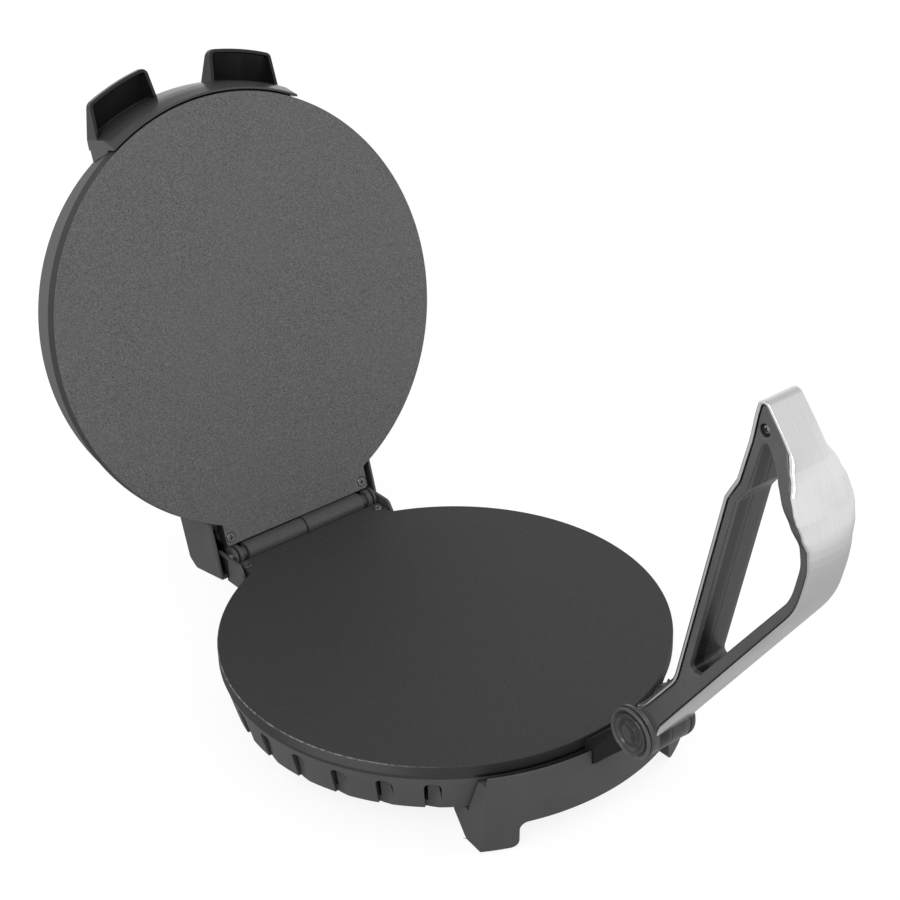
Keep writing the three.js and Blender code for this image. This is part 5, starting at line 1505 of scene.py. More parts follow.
@dataclass
class Casing:
    """The tapering skirt of the base and the shell of the lid."""

    top_radius: float = 127.0
    bottom_radius: float = 121.3
    top: float = -8.55
    bottom: float = -31.5
    wall: float = 2.2
    inner_radius: float = 118.8
    ledge_radius: float = 100.0
    ledge: float = 2.0
    vent_count: int = 9
    vent_first_deg: float = 42.1
    vent_pitch_deg: float = 11.7
    vent_half: float = 4.6
    vent_head: float = -12.4
    vent_corner: float = 3.6
    slit_width: float = 1.9
    slit_floor: float = 116.0
    sill: float = 4.0
    tongue_turn: float = 0.2
    tongue_lean: float = 1.2
    shoulder: float = 9.0
    crown: float = 6.7
    slot_count: int = 14
    slot_reach: Flat = (52.0, 72.0)
    slot_half: float = 1.5
    inlet_radius: float = 6.3

    @property
    def _slope(self) -> float:
        """How much the skirt narrows with each millimetre down."""
        return (self.top_radius - self.bottom_radius) / (self.top - self.bottom)

    def inlet(self, far: float) -> Solid:
        """What the cord's hole takes away, as far as a distance behind the axis."""
        return Solid.rod(self.inlet_radius, 100, far, 32, Axis.Y, (0, 0, INLET_Z))

    def plug(self, gap: float) -> Solid:
        """The skirt's cone grown by a gap, to cut what stands against it.

        Args:
            gap: clearance.

        Returns:
            The plug.
        """
        drop = self.top - self.bottom + gap
        low = self.top_radius + gap - self._slope * drop
        return Solid.turned([
            (0, self.top - drop), (low, self.top - drop), (self.top_radius + gap, self.top),
            (self.top_radius + gap, self.top + gap), (0, self.top + gap),
        ], 240)

    def _radius_at(self, height: float) -> float:
        """Radius of the skirt's outer face at a height."""
        return self.top_radius - self._slope * (self.top - height)

    def _vent(self, floor: float, low: float) -> Solid:
        """What one vent takes away, drawn at the front: an arch round a leaning tongue, with a slit each side.

        Args:
            floor: how near the axis the slits reach.
            low: how far down they reach.

        Returns:
            The cutting shape.
        """
        half, high = self.vent_half, self.vent_head
        arch = Solid.prism(rounded([
            (-half, low, 0), (half, low, 0), (half, high, self.vent_corner), (-half, high, self.vent_corner),
        ], 9), Plane.XZ, floor, self.top_radius + 4)
        left, right = -half + self.slit_width, half - self.slit_width
        under = self.bottom - 6
        edge = [(left, under), (half + 0.2, under), (half + 0.2, self.bottom + 4.5), (right, high + 1),
                (left, high + 1)]
        span = self.vent_head - self.bottom
        face = []
        for x, z in edge:
            depth = self.tongue_turn * (half - x) + self.tongue_lean * (z - self.bottom) / span
            face.append(Vector((x, -(self._radius_at(z) - depth), z)))
        back = [Vector((x, 2 - floor, z)) for x, z in edge]
        return arch.cut(Solid.swept([back, face]))

    def _vent_rings(self) -> list[Solid]:
        """All vents, in a row on each side.

        Returns:
            The cutting shapes, a left and a right ring of each depth.
        """
        count, first, pitch = self.vent_count, self.vent_first_deg, self.vent_pitch_deg
        rings = []
        for floor, low in ((self.slit_floor, self.bottom + self.sill), (self.inner_radius + 0.7, self.bottom - 4)):
            left = self._vent(floor, low)
            rings += [Repeats.ring(left, count, -first, -pitch), Repeats.ring(left.flipped(), count, first, pitch)]
        return rings

    def skirt(self) -> Solid:
        """The base's skirt with its vents.

        Returns:
            The skirt.
        """
        soft = 0.35
        body = Solid.turned([
            (self.inner_radius, self.bottom), (self.bottom_radius - soft, self.bottom),
            (self.bottom_radius, self.bottom + soft), (self.top_radius - soft * 0.2, self.top - soft),
            (self.top_radius - soft, self.top), (self.ledge_radius, self.top),
            (self.ledge_radius, self.top - self.ledge), (self.inner_radius, self.top - self.ledge),
        ], 360)
        return body.cut(*self._vent_rings(), self.inlet(135))

    def dome(self) -> Solid:
        """The lid's shell, drawn as for the base.

        Returns:
            The shell.
        """
        centre = self.bottom_radius - self.shoulder
        rise = self.crown - 1
        outer = [(centre + self.shoulder * math.cos(a), self.bottom - rise * math.sin(a))
                 for a in (math.radians(7.5 * step) for step in range(13))]
        crown = [(centre * (1 - share), self.bottom - rise - (1 - (1 - share) ** 2) * 1.0)
                 for share in (0.25, 0.5, 0.75)]
        inner = [(radius - self.wall, height + self.wall) for radius, height in outer]
        soft = 0.35
        return Solid.turned([
            (0, self.bottom - self.crown), *reversed(crown), *reversed(outer),
            (self.top_radius - soft * 0.2, self.top - soft), (self.top_radius - soft, self.top),
            (self.ledge_radius, self.top), (self.ledge_radius, self.top - self.ledge),
            (self.top_radius - self.wall, self.top - self.ledge), *inner, (0, self.bottom - self.crown + self.wall),
        ], 300)

    def cover(self) -> Solid:
        """The disc under the base, with vent slots and screw holes.

        Returns:
            The disc.
        """
        low = self.bottom + 0.8
        disc = Solid.turned([(0, low), (self.inner_radius - 0.7, low), (self.inner_radius - 0.4, low + 0.3),
                             (self.inner_radius - 0.4, low + 1.5), (0, low + 1.5)], 240)
        half, (near, far) = self.slot_half, self.slot_reach
        ends = [(-half, -far), (half, -far), (half, -near), (-half, -near)]
        slot = Solid.prism(rounded([(x, y, half - 0.01) for x, y in ends], 20), Plane.XY, low - 2, low + 3)
        rib = Solid.turned([(28, low - 0.25), (30, low - 0.25), (30.3, low + 0.4), (27.7, low + 0.4)], 96)
        groove = Solid.turned([(86, low - 1), (89, low - 1), (88.4, low + 0.5), (86.6, low + 0.5)], 160)
        hole = Solid.rod(SCREW_HOLE, low - 2, low + 3, 20, centre=(COVER_SCREW, COVER_SCREW, 0))
        slots = Repeats.ring(slot, self.slot_count, 0, 360 / self.slot_count)
        plate = disc.cut(slots, groove, Repeats.ring(hole, 4, 0, 90))
        return plate.softened(0.25, 1, 50).beside(rib)


# Brackets with legs


@dataclass
class Bracket:
    """A curved bracket that carries two legs, front or rear."""

    casing: Casing
    radius: float = 136.5
    top: float = -3.0
    rear_top: float = -26.0
    bottom: float = -35.0
    rim_radius: float = 128.5
    side_x: float = 66.8
    side_y: float = 112.0
    side_turn_deg: float = 6.0
    side_draft_deg: float = 5.7
    leg_bottom: float = -50.0
    leg_outer_x: float = 76.0
    leg_inner_x: float = 53.5
    leg_corner: float = 4.5
    leg_fillet: float = 4.5
    leg_back: tuple[Flat, ...] = ((-103.4, -50.0), (-101.4, -49.0), (-90.6, -39.6), (-84.8, -31.8))
    ring_inner: float = 124.4
    skirt_gap: float = 2.1
    lip: float = 1.3
    lip_floor: float = -9.6
    foot_x: float = 64.0
    foot_y: float = 112.5
    foot_radius: float = 5.1
    socket_half: float = 12.6
    socket_inner: float = 129.0
    socket_bottom: float = -11.5
    soft: float = 0.5

    def _side_tools(self) -> list[Solid]:
        """Slabs that trim the two sides to their turned and drafted planes.

        Returns:
            The left and the right slab.
        """
        tools = []
        for hand in (-1, 1):
            slab = Solid.block((min(0, hand * 90), -200, -200), (max(0, hand * 90), 200, 200))
            turn = spun(hand * self.side_turn_deg, "Z") @ spun(-hand * self.side_draft_deg, "Y")
            tools.append(slab.moved(Matrix.Translation((hand * self.side_x, -self.side_y, 0)) @ turn))
        return tools

    def _apron(self) -> Solid:
        """Front view of the bracket and its legs, pushed through.

        Returns:
            The solid that the bracket is cut from.
        """
        inner, corner, wide = self.leg_inner_x, self.leg_corner, self.leg_outer_x + 4
        outline = rounded([
            (-wide, self.leg_bottom, 0), (-inner, self.leg_bottom, corner),
            (-inner + 0.4, self.bottom, self.leg_fillet), (inner - 0.4, self.bottom, self.leg_fillet),
            (inner, self.leg_bottom, corner), (wide, self.leg_bottom, 0), (wide, 0, 0), (-wide, 0, 0),
        ], 7)
        return Solid.prism(outline, Plane.XZ, 60, self.radius + 6)

    def legged(self, top: float) -> Solid:
        """The ring with its legs, up to a height.

        Args:
            top: height of the ring's upper edge.

        Returns:
            The bracket's main body, drawn at the front.
        """
        low = self.leg_bottom - 2
        ring_top = min(top, self.casing.top)
        profile = [(self.ring_inner, low), (self.radius, low), (self.radius, top)]
        if top > ring_top:
            profile += [(self.rim_radius, top), (self.rim_radius, ring_top)]
        ring = Solid.turned(profile + [(self.ring_inner, ring_top)], 360)
        under = self.casing.bottom - 0.3
        side = [(-self.radius - 2, low), (self.leg_back[0][0], low), *self.leg_back, (-self.radius - 2, under)]
        inside = self.radius - 4
        drum = Solid.rod(inside, low + 0.5, under, 240)
        legs = [Solid.prism(side, Plane.YZ, *span).meet(drum)
                for span in ((-90, 4 - self.leg_inner_x), (self.leg_inner_x - 4, 90))]
        body = ring.join(*legs).meet(self._apron())
        socket = Solid.rod(self.foot_radius, -4, 2.3, 40)
        sockets = Repeats.at(socket, pair(self.foot_x, -self.foot_y, self.leg_bottom))
        plug = self.casing.plug(self.skirt_gap)
        above = Solid.block((-200, -200, self.casing.bottom - 0.3), (200, 200, 60))
        return body.cut(*self._side_tools(), plug.meet(above), sockets)

    def _groove(self) -> Solid:
        """The dark channel between the plate's rim and the bracket's thin upper lip."""
        inner, outer, low = self.rim_radius - 0.8, self.radius - self.lip, self.lip_floor
        return Solid.turned([(inner, low), (outer, low), (outer, 4), (inner, 4)], 360)

    def front(self) -> Solid:
        """The front bracket with its channel and the pocket of the pivot arm.

        Returns:
            The bracket.
        """
        pocket = Solid.block((-self.socket_half, -self.radius - 4, self.socket_bottom),
                             (self.socket_half, -self.socket_inner, 4))
        return self.legged(self.top).cut(self._groove(), pocket).softened(self.soft, 3, 38)

    def rear(self) -> Solid:
        """The rear bracket's legs and low ring."""
        return self.legged(self.rear_top).softened(self.soft, 3, 38).moved(spun(180, "Z"))


@dataclass
class HingeEars:
    """The wall behind the base and the two thin ears beside the hinge."""

    casing: Casing
    outer_x: float = 56.0
    wall: float = 2.0
    back: float = 131.0
    beam_front: float = 116.9
    beam_bottom: float = -13.6
    ear_top: float = 3.4
    back_radius: float = 10.8

    def build(self) -> Solid:
        """The wall, the beam under the tab and the ears.

        Returns:
            All of them in one mesh.
        """
        inner = self.outer_x - self.wall
        top, front, low, back = self.casing.top, self.beam_front, self.beam_bottom, self.back
        ring = Solid.turned([(110, -35), (back, -35), (back, top), (110, top)], 240)
        wall = ring.meet(Solid.block((-self.outer_x, 110.7, self.casing.bottom), (self.outer_x, 136.5, -8.5)))
        beam = Solid.block((-inner - 0.5, front, low), (inner + 0.5, back, top))
        body = wall.join(beam).cut(self.casing.plug(0.3), self.casing.inlet(140)).softened(0.5, 2, 40)
        outline = rounded([
            (front, low, 0), (HINGE_Y, low, 3.0), (147.4, -6.8, 5.0), (146.3, self.ear_top, 3.0),
            (123.1, self.ear_top, 5.0), (front, -6.2, 2.0),
        ], 6)
        disc = Solid.rod(self.back_radius, -70, 70, 96, Axis.X, (0, HINGE_Y, HINGE_Z))
        reach = disc.join(Solid.block((-70, 100, -60), (70, HINGE_Y, 60)))
        ears = [
            Solid.prism(outline, Plane.YZ, *span).meet(reach).softened(0.35, 2, 38)
            for span in ((-self.outer_x, -inner), (inner, self.outer_x))
        ]
        return body.beside(*ears)


# Pivot arm


@dataclass
class PivotArm:
    """The arm that rises from the bracket's pocket to the lever's pivot."""

    half_width: float = 12.3
    half_thickness: float = 6.5
    knuckle_radius: float = 9.0
    bore_radius: float = 3.25
    root_y: float = -129.3
    root_z: float = -11.2

    def build(self) -> Solid:
        """The arm: a shank and a knuckle round the pivot's bore.

        Returns:
            The arm.
        """
        spread = self.half_thickness * math.sqrt(2)
        along = self.half_thickness / math.sqrt(2)
        total = PIVOT_Y + PIVOT_Z
        outline = [
            (total - spread - self.root_z, self.root_z), (self.root_y, self.root_z),
            (self.root_y, total + spread - self.root_y),
            (PIVOT_Y + along, PIVOT_Z + along), (PIVOT_Y - along, PIVOT_Z - along),
        ]
        shank = Solid.prism(outline, Plane.YZ, -self.half_width, self.half_width)
        pivot = (0, PIVOT_Y, PIVOT_Z)
        knuckle = Solid.rod(self.knuckle_radius, -self.half_width, self.half_width, 64, Axis.X, pivot)
        bore = Solid.rod(self.bore_radius, -20, 20, 32, Axis.X, pivot)
        return shank.join(knuckle).cut(bore).softened(0.7, 3, 38)


# Lever


@dataclass
class Lever:
    """The pressing lever: two black halves, a barrel at the pivot and a bright strip round the edge."""

    length: float = 225.6
    depth: float = 70.0
    strip: float = 1.9
    strip_overhang: float = 0.5
    body_inset: float = 2.45
    crown_radius: float = 95.0
    roll: float = 0.6
    roll_width: float = 4.0
    crown_start: float = 2.0
    crown_end: float = 8.0
    crown_fade: float = 4.0
    crown_stop: Flat = (0.9, 0.96)
    pad_rise: Flat = (26.0, 40.0)
    slice_pitch: float = 3.5
    half_width: float = 12.0
    tip_half_width: float = 9.7
    pad_half_width: float = 17.7
    barrel_radius: float = 14.1
    barrel_half: float = 16.5
    barrel_rim: float = 2.0
    barrel_dish: float = 1.4
    body_soft: float = 0.9
    seam: float = 0.3
    strip_stop: float = 1.6
    arm_half: float = 12.6
    arm_strip: float = 7.1
    outline_shares: tuple[Corner, ...] = (
        (0.027, -0.105, 0), (0.225, 0.181, 20), (0.745, 0.181, 9), (0.802, 0.235, 9), (1.000, 0.235, 4.0),
        (1.000, 0.3148, 4.0), (0.907, 0.709, 48), (0.786, 1.000, 56), (0.624, 1.000, 50),
        (0.027, 0.179, 0),
    )
    loop_shares: tuple[Corner, ...] = (
        (0.276, 0.292, 3), (0.749, 0.288, 5), (0.791, 0.350, 5), (0.921, 0.350, 2.5), (0.887, 0.577, 12),
        (0.754, 0.893, 28), (0.641, 0.893, 30), (0.285, 0.388, 3),
    )
    pad_shares: tuple[Flat, ...] = (
        (-0.1, 0), (0.60, 0), (0.66, 0.06), (0.72, 0.08), (0.77, 0.24), (0.81, 0.72), (0.845, 1), (0.875, 0.86),
        (0.905, 0.34), (0.935, -0.34), (0.965, -0.36), (1.02, -0.42),
    )
    pad_end_share: float = 0.945
    body_shares: tuple[Flat, ...] = ((-0.1, 0), (0.78, 0), (0.92, 0.8), (1.02, 1))
    screw_shares: Flat = (0.939, 0.335)
    well_radius: float = 3.1
    well_floor: float = -8.95
    knuckle_room: float = 9.3

    def _scaled(self, shares: Sequence[Corner]) -> list[Flat]:
        """An outline given as shares of the lever's length and depth."""
        return dense(rounded([(a * self.length, b * self.depth, r) for a, b, r in shares], 5), 5)

    def _half_width_at(self, along: float, outer: bool) -> float:
        """Half-width of the black body at a distance along the lever.

        Args:
            along: distance from the pivot.
            outer: True on the outer member, which widens to the thumb pad.

        Returns:
            The half-width.
        """
        place = along / self.length
        outer = outer and place < self.pad_end_share
        shares = self.pad_shares if outer else self.body_shares
        span = self.pad_half_width - self.half_width if outer else self.tip_half_width - self.half_width
        if place <= shares[0][0]:
            return self.half_width
        for (a, x), (b, y) in zip(shares, shares[1:]):
            if place <= b:
                share = (place - a) / (b - a)
                smooth = eased(share) if outer else share
                return self.half_width + (x + (y - x) * smooth) * span
        return self.half_width + shares[-1][1] * span

    def _width_at(self, along: float, rise: float) -> float:
        """Half-width of the black body at a point of its side.

        Args:
            along: distance from the pivot.
            rise: height over the pivot.

        Returns:
            The half-width, which goes over smoothly from the inner to the outer member.
        """
        low, high = self.pad_rise
        share = eased(clamped((rise - low) / (high - low)))
        inner, outer = self._half_width_at(along, False), self._half_width_at(along, True)
        return inner + (outer - inner) * share

    def _slot(self) -> Solid:
        """The opening in the barrel for the arm, over the whole travel.

        Returns:
            The cutting shape.
        """
        reach = self.barrel_radius + 5
        first, last = -45 - LEVER_OPEN_DEG, -45.0
        wedge = Solid.prism([(0, 0), *arc(reach, first, last, 16)], Plane.YZ, -self.arm_half, self.arm_half)
        knuckle = Solid.rod(self.knuckle_room, -self.arm_half, self.arm_half, 64, Axis.X)
        half, rise = self.arm_half + 0.01, self.arm_strip
        strip = Solid.block((-half, 0, -rise), (half, reach, rise))
        return wedge.join(knuckle, *(strip.moved(spun(angle, "X")) for angle in (first, last)))

    def _barrel(self, hand: int) -> Solid:
        """One half of the barrel, with its rounded end and dished face.

        Args:
            hand: -1 for the left half, 1 for the right.

        Returns:
            The half barrel.
        """
        radius, half, rim, dish = self.barrel_radius, self.barrel_half, self.barrel_rim, self.barrel_dish
        soft, groove = 1.2, 0.7
        right = arc(soft, 0, 90, 5, (half - soft, radius - soft))
        edge = [(r, x) for x, r in right]
        profile = [
            (0, half - dish), (radius - rim - 0.5, half - dish), (radius - rim, half - 0.6),
            (radius - rim + 0.3, half - 0.15), (radius - rim + 0.7, half),
        ] + edge + [
            (radius, half - 2.0), (radius - groove, half - 2.3), (radius - groove, half - 3.3), (radius, half - 3.6),
        ]
        profile += [(radius, self.seam / 2 + 0.02), (0, self.seam / 2 + 0.02)]
        return Solid.turned([(r, x * hand) for r, x in profile], 96, Axis.X)

    def body_half(self, hand: int) -> Solid:
        """One moulded half with its half of the barrel.

        Args:
            hand: -1 for the left half, 1 for the right.

        Returns:
            The half, drawn closed with the pivot at the origin.
        """
        outline = inset(self._scaled(self.outline_shares), self.body_inset)
        span = sorted((hand * self.seam / 2, hand * self.half_width))
        blank = Solid.prism(outline, Plane.YZ, *span)
        loop = Solid.prism(self._scaled(self.loop_shares), Plane.YZ, -26, 26)
        body = blank.cut(loop).join(self._barrel(hand)).cut(self._slot())
        screw = self.screw_place()
        well = Solid.rod(self.well_radius, -14, self.well_floor, 40, Axis.X, (0, *screw))
        hole = Solid.rod(SCREW_HOLE, -14, 9.4, 24, Axis.X, (0, *screw))
        soft = body.cut(well, hole).softened(self.body_soft, 3, 38, lambda point: abs(point.x) < 1)
        return self._worked(soft)

    def _worked(self, solid: Solid) -> Solid:
        """A solid of even width brought to the lever's widths and crown.

        Args:
            solid: the solid.

        Returns:
            The shaped solid.
        """
        count = int(self.length / self.slice_pitch)
        along = [self.slice_pitch * step for step in range(12, count + 1)]
        rises = [self.pad_rise[0] + 2.8 * step for step in range(6)]
        return solid.sliced((0, 1, 0), along).sliced((0, 0, 1), rises).warped(self._crown_rule())

    def screw_place(self) -> Flat:
        """Where the tip screw goes."""
        return self.screw_shares[0] * self.length, self.screw_shares[1] * self.depth

    def _crown_rule(self) -> Callable[[Vector], Vector]:
        """The rule that crowns the lever's edge: points sink towards the loop, more so near the sides.

        Returns:
            A function from a point to its place on the crowned lever.
        """
        path = [Vector(point) for point in self._scaled(self.outline_shares)]
        outwards = []
        for index in range(len(path)):
            along = (path[(index + 1) % len(path)] - path[index - 1]).normalized()
            outwards.append(Vector((along.y, -along.x)))

        def rule(point: Vector) -> Vector:
            """Where a point of the lever goes.

            Args:
                point: its place on the flat lever.

            Returns:
                Its place on the crowned lever.
            """
            flat = Vector((point.y, point.z))
            if flat.length < self.barrel_radius + self.crown_start:
                return point
            near = min(range(len(path)), key=lambda index: (path[index] - flat).length_squared)
            best = (float("inf"), Vector((0, 0)))
            for first in (near - 1, near):
                second = (first + 1) % len(path)
                stretch = path[second] - path[first]
                share = clamped((flat - path[first]).dot(stretch) / stretch.length_squared)
                gap = flat - path[first].lerp(path[second], share)
                outward = outwards[first].lerp(outwards[second], share).normalized()
                best = min(best, (gap.length, outward), key=lambda found: found[0])
            fade = clamped((self.crown_end - best[0]) / self.crown_fade)
            fade *= min(1.0, (flat.length - self.barrel_radius - self.crown_start) / self.crown_fade)
            first_stop, last_stop = (share * self.length for share in self.crown_stop)
            fade *= clamped((last_stop - point.y) / (last_stop - first_stop))
            even, width = self.half_width + self.strip_overhang, self._width_at(*flat) + self.strip_overhang
            across = min(abs(point.x) / even, 1.0) * width
            edge = max(0.0, (across - width + self.roll_width) / self.roll_width)
            sink = (across**2 / (2 * self.crown_radius) + self.roll * edge**2) * fade
            flat -= best[1] * sink
            return Vector((point.x * width / even, *flat))

        return rule

    def strip_band(self) -> Solid:
        """The bright strip round the lever's edge, crowned across, with rolled rims.

        Returns:
            The strip.
        """
        outer = self._scaled(self.outline_shares)
        inner = inset(outer, self.strip)
        limit = self.barrel_radius + self.strip_stop
        kept = [index for index, point in enumerate(outer) if Vector(point).length > limit]
        first, last = self._at_radius(outer, kept[0], -1, limit), self._at_radius(outer, kept[-1], 1, limit)
        loop = [first] + [outer[index] for index in kept] + [last]
        back = [self._at_radius(inner, kept[-1], 1, limit)] + [inner[index] for index in reversed(kept)]
        back.append(self._at_radius(inner, kept[0], -1, limit))
        reach = self.half_width + self.strip_overhang
        band = Solid.prism(loop + back, Plane.YZ, -reach, reach)
        return self._worked(band.softened(0.75, 4, 42).sliced((1, 0, 0), [step * 2.2 for step in range(-5, 6)]))

    @staticmethod
    def _at_radius(points: Sequence[Flat], index: int, step: int, radius: float) -> Flat:
        """Where an outline's next stretch passes a distance from the pivot.

        Args:
            points: the outline.
            index: the last point outside that distance.
            step: 1 to go forwards, -1 to go back.
            radius: the distance.

        Returns:
            The place on the stretch.
        """
        far, near = Vector(points[index]), Vector(points[(index + step) % len(points)])
        low, high = 0.0, 1.0
        for _ in range(30):
            share = (low + high) / 2
            if far.lerp(near, share).length > radius:
                low = share
            else:
                high = share
        return tuple(far.lerp(near, low))

    def cap(self, hand: int) -> Solid:
        """The round cap in one end of the barrel.

        Args:
            hand: -1 for the left end, 1 for the right.

        Returns:
            The cap: a raised ring round a dished middle with a small dimple.
        """
        base = self.barrel_half - self.barrel_dish + 0.3
        profile = [
            (0, base), (10.9, base), (10.9, base + 1.0), (10.7, base + 1.25), (10.3, base + 1.35),
            (9.2, base + 1.25), (8.8, base + 1.0), (8.5, base + 0.5), (8.1, base + 0.15), (6.2, base + 0.15),
            (5.9, base + 0.4), (5.8, base + 1.0), (5.5, base + 1.3), (5.1, base + 1.35), (4.5, base + 1.1),
            (3.2, base + 0.8), (1.4, base + 0.65), (0.9, base + 0.5), (0.7, base + 0.2), (0, base + 0.12),
        ]
        if hand < 0:
            profile = [(r, -x) for r, x in profile]
        return Solid.turned(profile, 80, Axis.X)


# Lid collar and hinge cover


@dataclass
class LidCollar:
    """The collar round the front of the lid, with two hollow finger grips."""

    casing: Casing
    end_x: float = 62.3
    inner_radius: float = 128.5
    lip_radius: float = 129.8
    radius: float = 133.3
    top: float = 31.5
    grip_radius: float = 151.6
    grip_wall: float = 2.0
    grip_rim: float = 20.5
    root_top: float = 33.0
    tip_top: float = 24.5
    seat: float = 5.2
    corner: float = 4.0
    root_y: float = -104.0
    root_x: Flat = (14.3, 62.55)
    tip_x: Flat = (21.2, 61.4)

    def _grip_outline(self, wall: float) -> list[Flat]:
        """Plan of the right grip, moved in by a wall.

        Args:
            wall: the wall; zero gives the outer face.

        Returns:
            The outline.
        """
        inner_y = -math.sqrt(self.grip_radius**2 - self.tip_x[0] ** 2)
        outer_y = -math.sqrt(self.grip_radius**2 - self.tip_x[1] ** 2)
        start = math.degrees(math.atan2(inner_y, self.tip_x[0]))
        end = math.degrees(math.atan2(outer_y, self.tip_x[1]))
        curve = arc(self.grip_radius, start, end, 14)
        corners: list[Corner] = [(self.root_x[0], self.root_y, 0), (*curve[0], self.corner)]
        corners += [(x, y, 0) for x, y in curve[2:-2]]
        corners += [(*curve[-1], self.corner), (self.root_x[1], self.root_y, 0)]
        points = rounded(corners, 9)
        return inset(points, wall) if wall else points

    def _grip(self) -> Solid:
        """The right grip, hollow and open below.

        Returns:
            The grip.
        """
        low, far = self.grip_rim, self.grip_radius + 5
        near = self.radius - self.seat
        shape = Solid.turned([
            (near, low), (far, low), (far, self.tip_top), (self.grip_radius, self.tip_top),
            (self.radius, self.root_top), (near, self.root_top),
        ], 300)
        outer = Solid.prism(self._grip_outline(0), Plane.XY, 0, 40).meet(shape)
        room = Solid.turned([
            (self.radius, low - 6), (far, low - 6), (far, self.tip_top - self.grip_wall),
            (self.grip_radius, self.tip_top - self.grip_wall), (self.radius, self.root_top - self.grip_wall),
        ], 300)
        inner = Solid.prism(self._grip_outline(self.grip_wall), Plane.XY, 0, 40).meet(room)
        return outer.cut(inner).softened(0.38, 3, 38)

    def build(self) -> Solid:
        """The collar with both grips.

        Returns:
            All of it in one mesh.
        """
        profile = [
            (self.inner_radius, 2), (self.lip_radius - 0.2, 2), (self.lip_radius, 2.3), (131.6, 7.4),
            (self.radius, 12.6), (self.radius, self.top - 2.6), (self.radius - 0.7, self.top - 0.8),
            (self.radius - 2.6, self.top), (100, self.top), (100, LID_SEAT), (self.inner_radius, LID_SEAT),
        ]
        sector = Solid.block((-self.end_x, -140, 0), (self.end_x, -100, 40))
        plug = turned_over(self.casing.plug(0.3))
        ring = Solid.turned(profile, 360).meet(sector).cut(plug)
        right = self._grip()
        return ring.softened(0.4, 2, 40).beside(*(grip.cut(plug) for grip in (right, right.flipped())))


@dataclass
class HingeCover:
    """The box over the back of the lid, open below."""

    casing: Casing
    half_width: float = 59.5
    wall: float = 1.9
    bottom: float = 5.0
    top: float = 39.4
    crown_radius: float = 121.6
    rim_radius: float = 128.0
    lamp_hole: float = 3.9
    lamp_x: float = 14.0
    lamp_y: float = 129.0

    def build(self) -> Solid:
        """The box with its hollow, screw posts and lamp holes.

        Returns:
            The box.
        """
        outline = rounded([
            (92, self.bottom, 0), (149.5, self.bottom, 0), (146.8, 34, 4), (140.5, self.top, 4), (92, self.top, 0),
        ], 8)
        box = Solid.prism(outline, Plane.YZ, -self.half_width, self.half_width)
        inner = self.half_width - self.wall
        hollow = Solid.prism([
            (87, 0), (147.6, 0), (144.9, 33), (139.5, self.top - self.wall), (87, self.top - self.wall),
        ], Plane.YZ, -inner, inner)
        plug = turned_over(self.casing.plug(0.3))
        crown = Solid.rod(self.crown_radius, 30, 45, 240)
        rim = Solid.rod(self.rim_radius, 0, LID_SEAT, 240)
        holes = Repeats.at(Solid.rod(self.lamp_hole, 30, 45, 32), pair(self.lamp_x, self.lamp_y, 0))
        shell = box.softened(1.0, 3, 60).cut(hollow, plug, crown, rim, holes)
        post = Solid.turned([(SCREW_HOLE, LID_SEAT), (4.2, LID_SEAT), (4.2, 38), (SCREW_HOLE, 38)], 40)
        return shell.softened(0.3, 2, 50).beside(Repeats.at(post, pair(SCREW_X, SCREW_Y, 0)))

    def lamp(self, x: float) -> Solid:
        """One lamp lens with its flange.

        Args:
            x: where it stands.

        Returns:
            The lens.
        """
        top = self.top
        dome = [(3.6 * math.cos(math.radians(a)), top + 1.1 + 0.8 * math.sin(math.radians(a)))
                for a in range(0, 90, 15)]
        return Solid.turned([
            (0, top - 6), (3.6, top - 6), (3.6, top + 0.3), (4.6, top + 0.3), (4.8, top + 0.5), (4.8, top + 0.9),
            (4.6, top + 1.1), *dome, (0, top + 1.9),
        ], 48, centre=(x, self.lamp_y, 0))


# Base details


@dataclass
class Foot:
    """A rubber foot, drawn standing on height zero."""

    radius: float = 4.8
    height: float = 3.0

    def build(self) -> Solid:
        """A disc with a soft rim and a shallow recess in the middle below.

        Returns:
            The foot.
        """
        r, h = self.radius, self.height
        return Solid.turned([
            (0, 0.25), (2.2, 0.25), (2.5, 0), (r - 0.6, 0), (r - 0.15, 0.2), (r, 0.7), (r, h), (0, h),
        ], 40)


@dataclass
class CordInlet:
    """The grommet in the back through which the cord would pass."""

    start: float = 119.1
    flange: float = 131.3

    def build(self) -> Solid:
        """A plain neck with a rounded flange, grooved on its face.

        Returns:
            The grommet.
        """
        f = self.flange
        return Solid.turned([
            (3.6, self.start), (6.0, self.start), (6.0, f), (8.3, f), (8.5, f + 0.3), (8.5, f + 1.3), (8.0, f + 1.9),
            (6.6, f + 2.0), (6.2, f + 1.6), (5.2, f + 1.6), (4.8, f + 2.0), (4.0, f + 2.0), (3.6, f + 1.5),
        ], 64, Axis.Y, (0, 0, INLET_Z))


# Stage


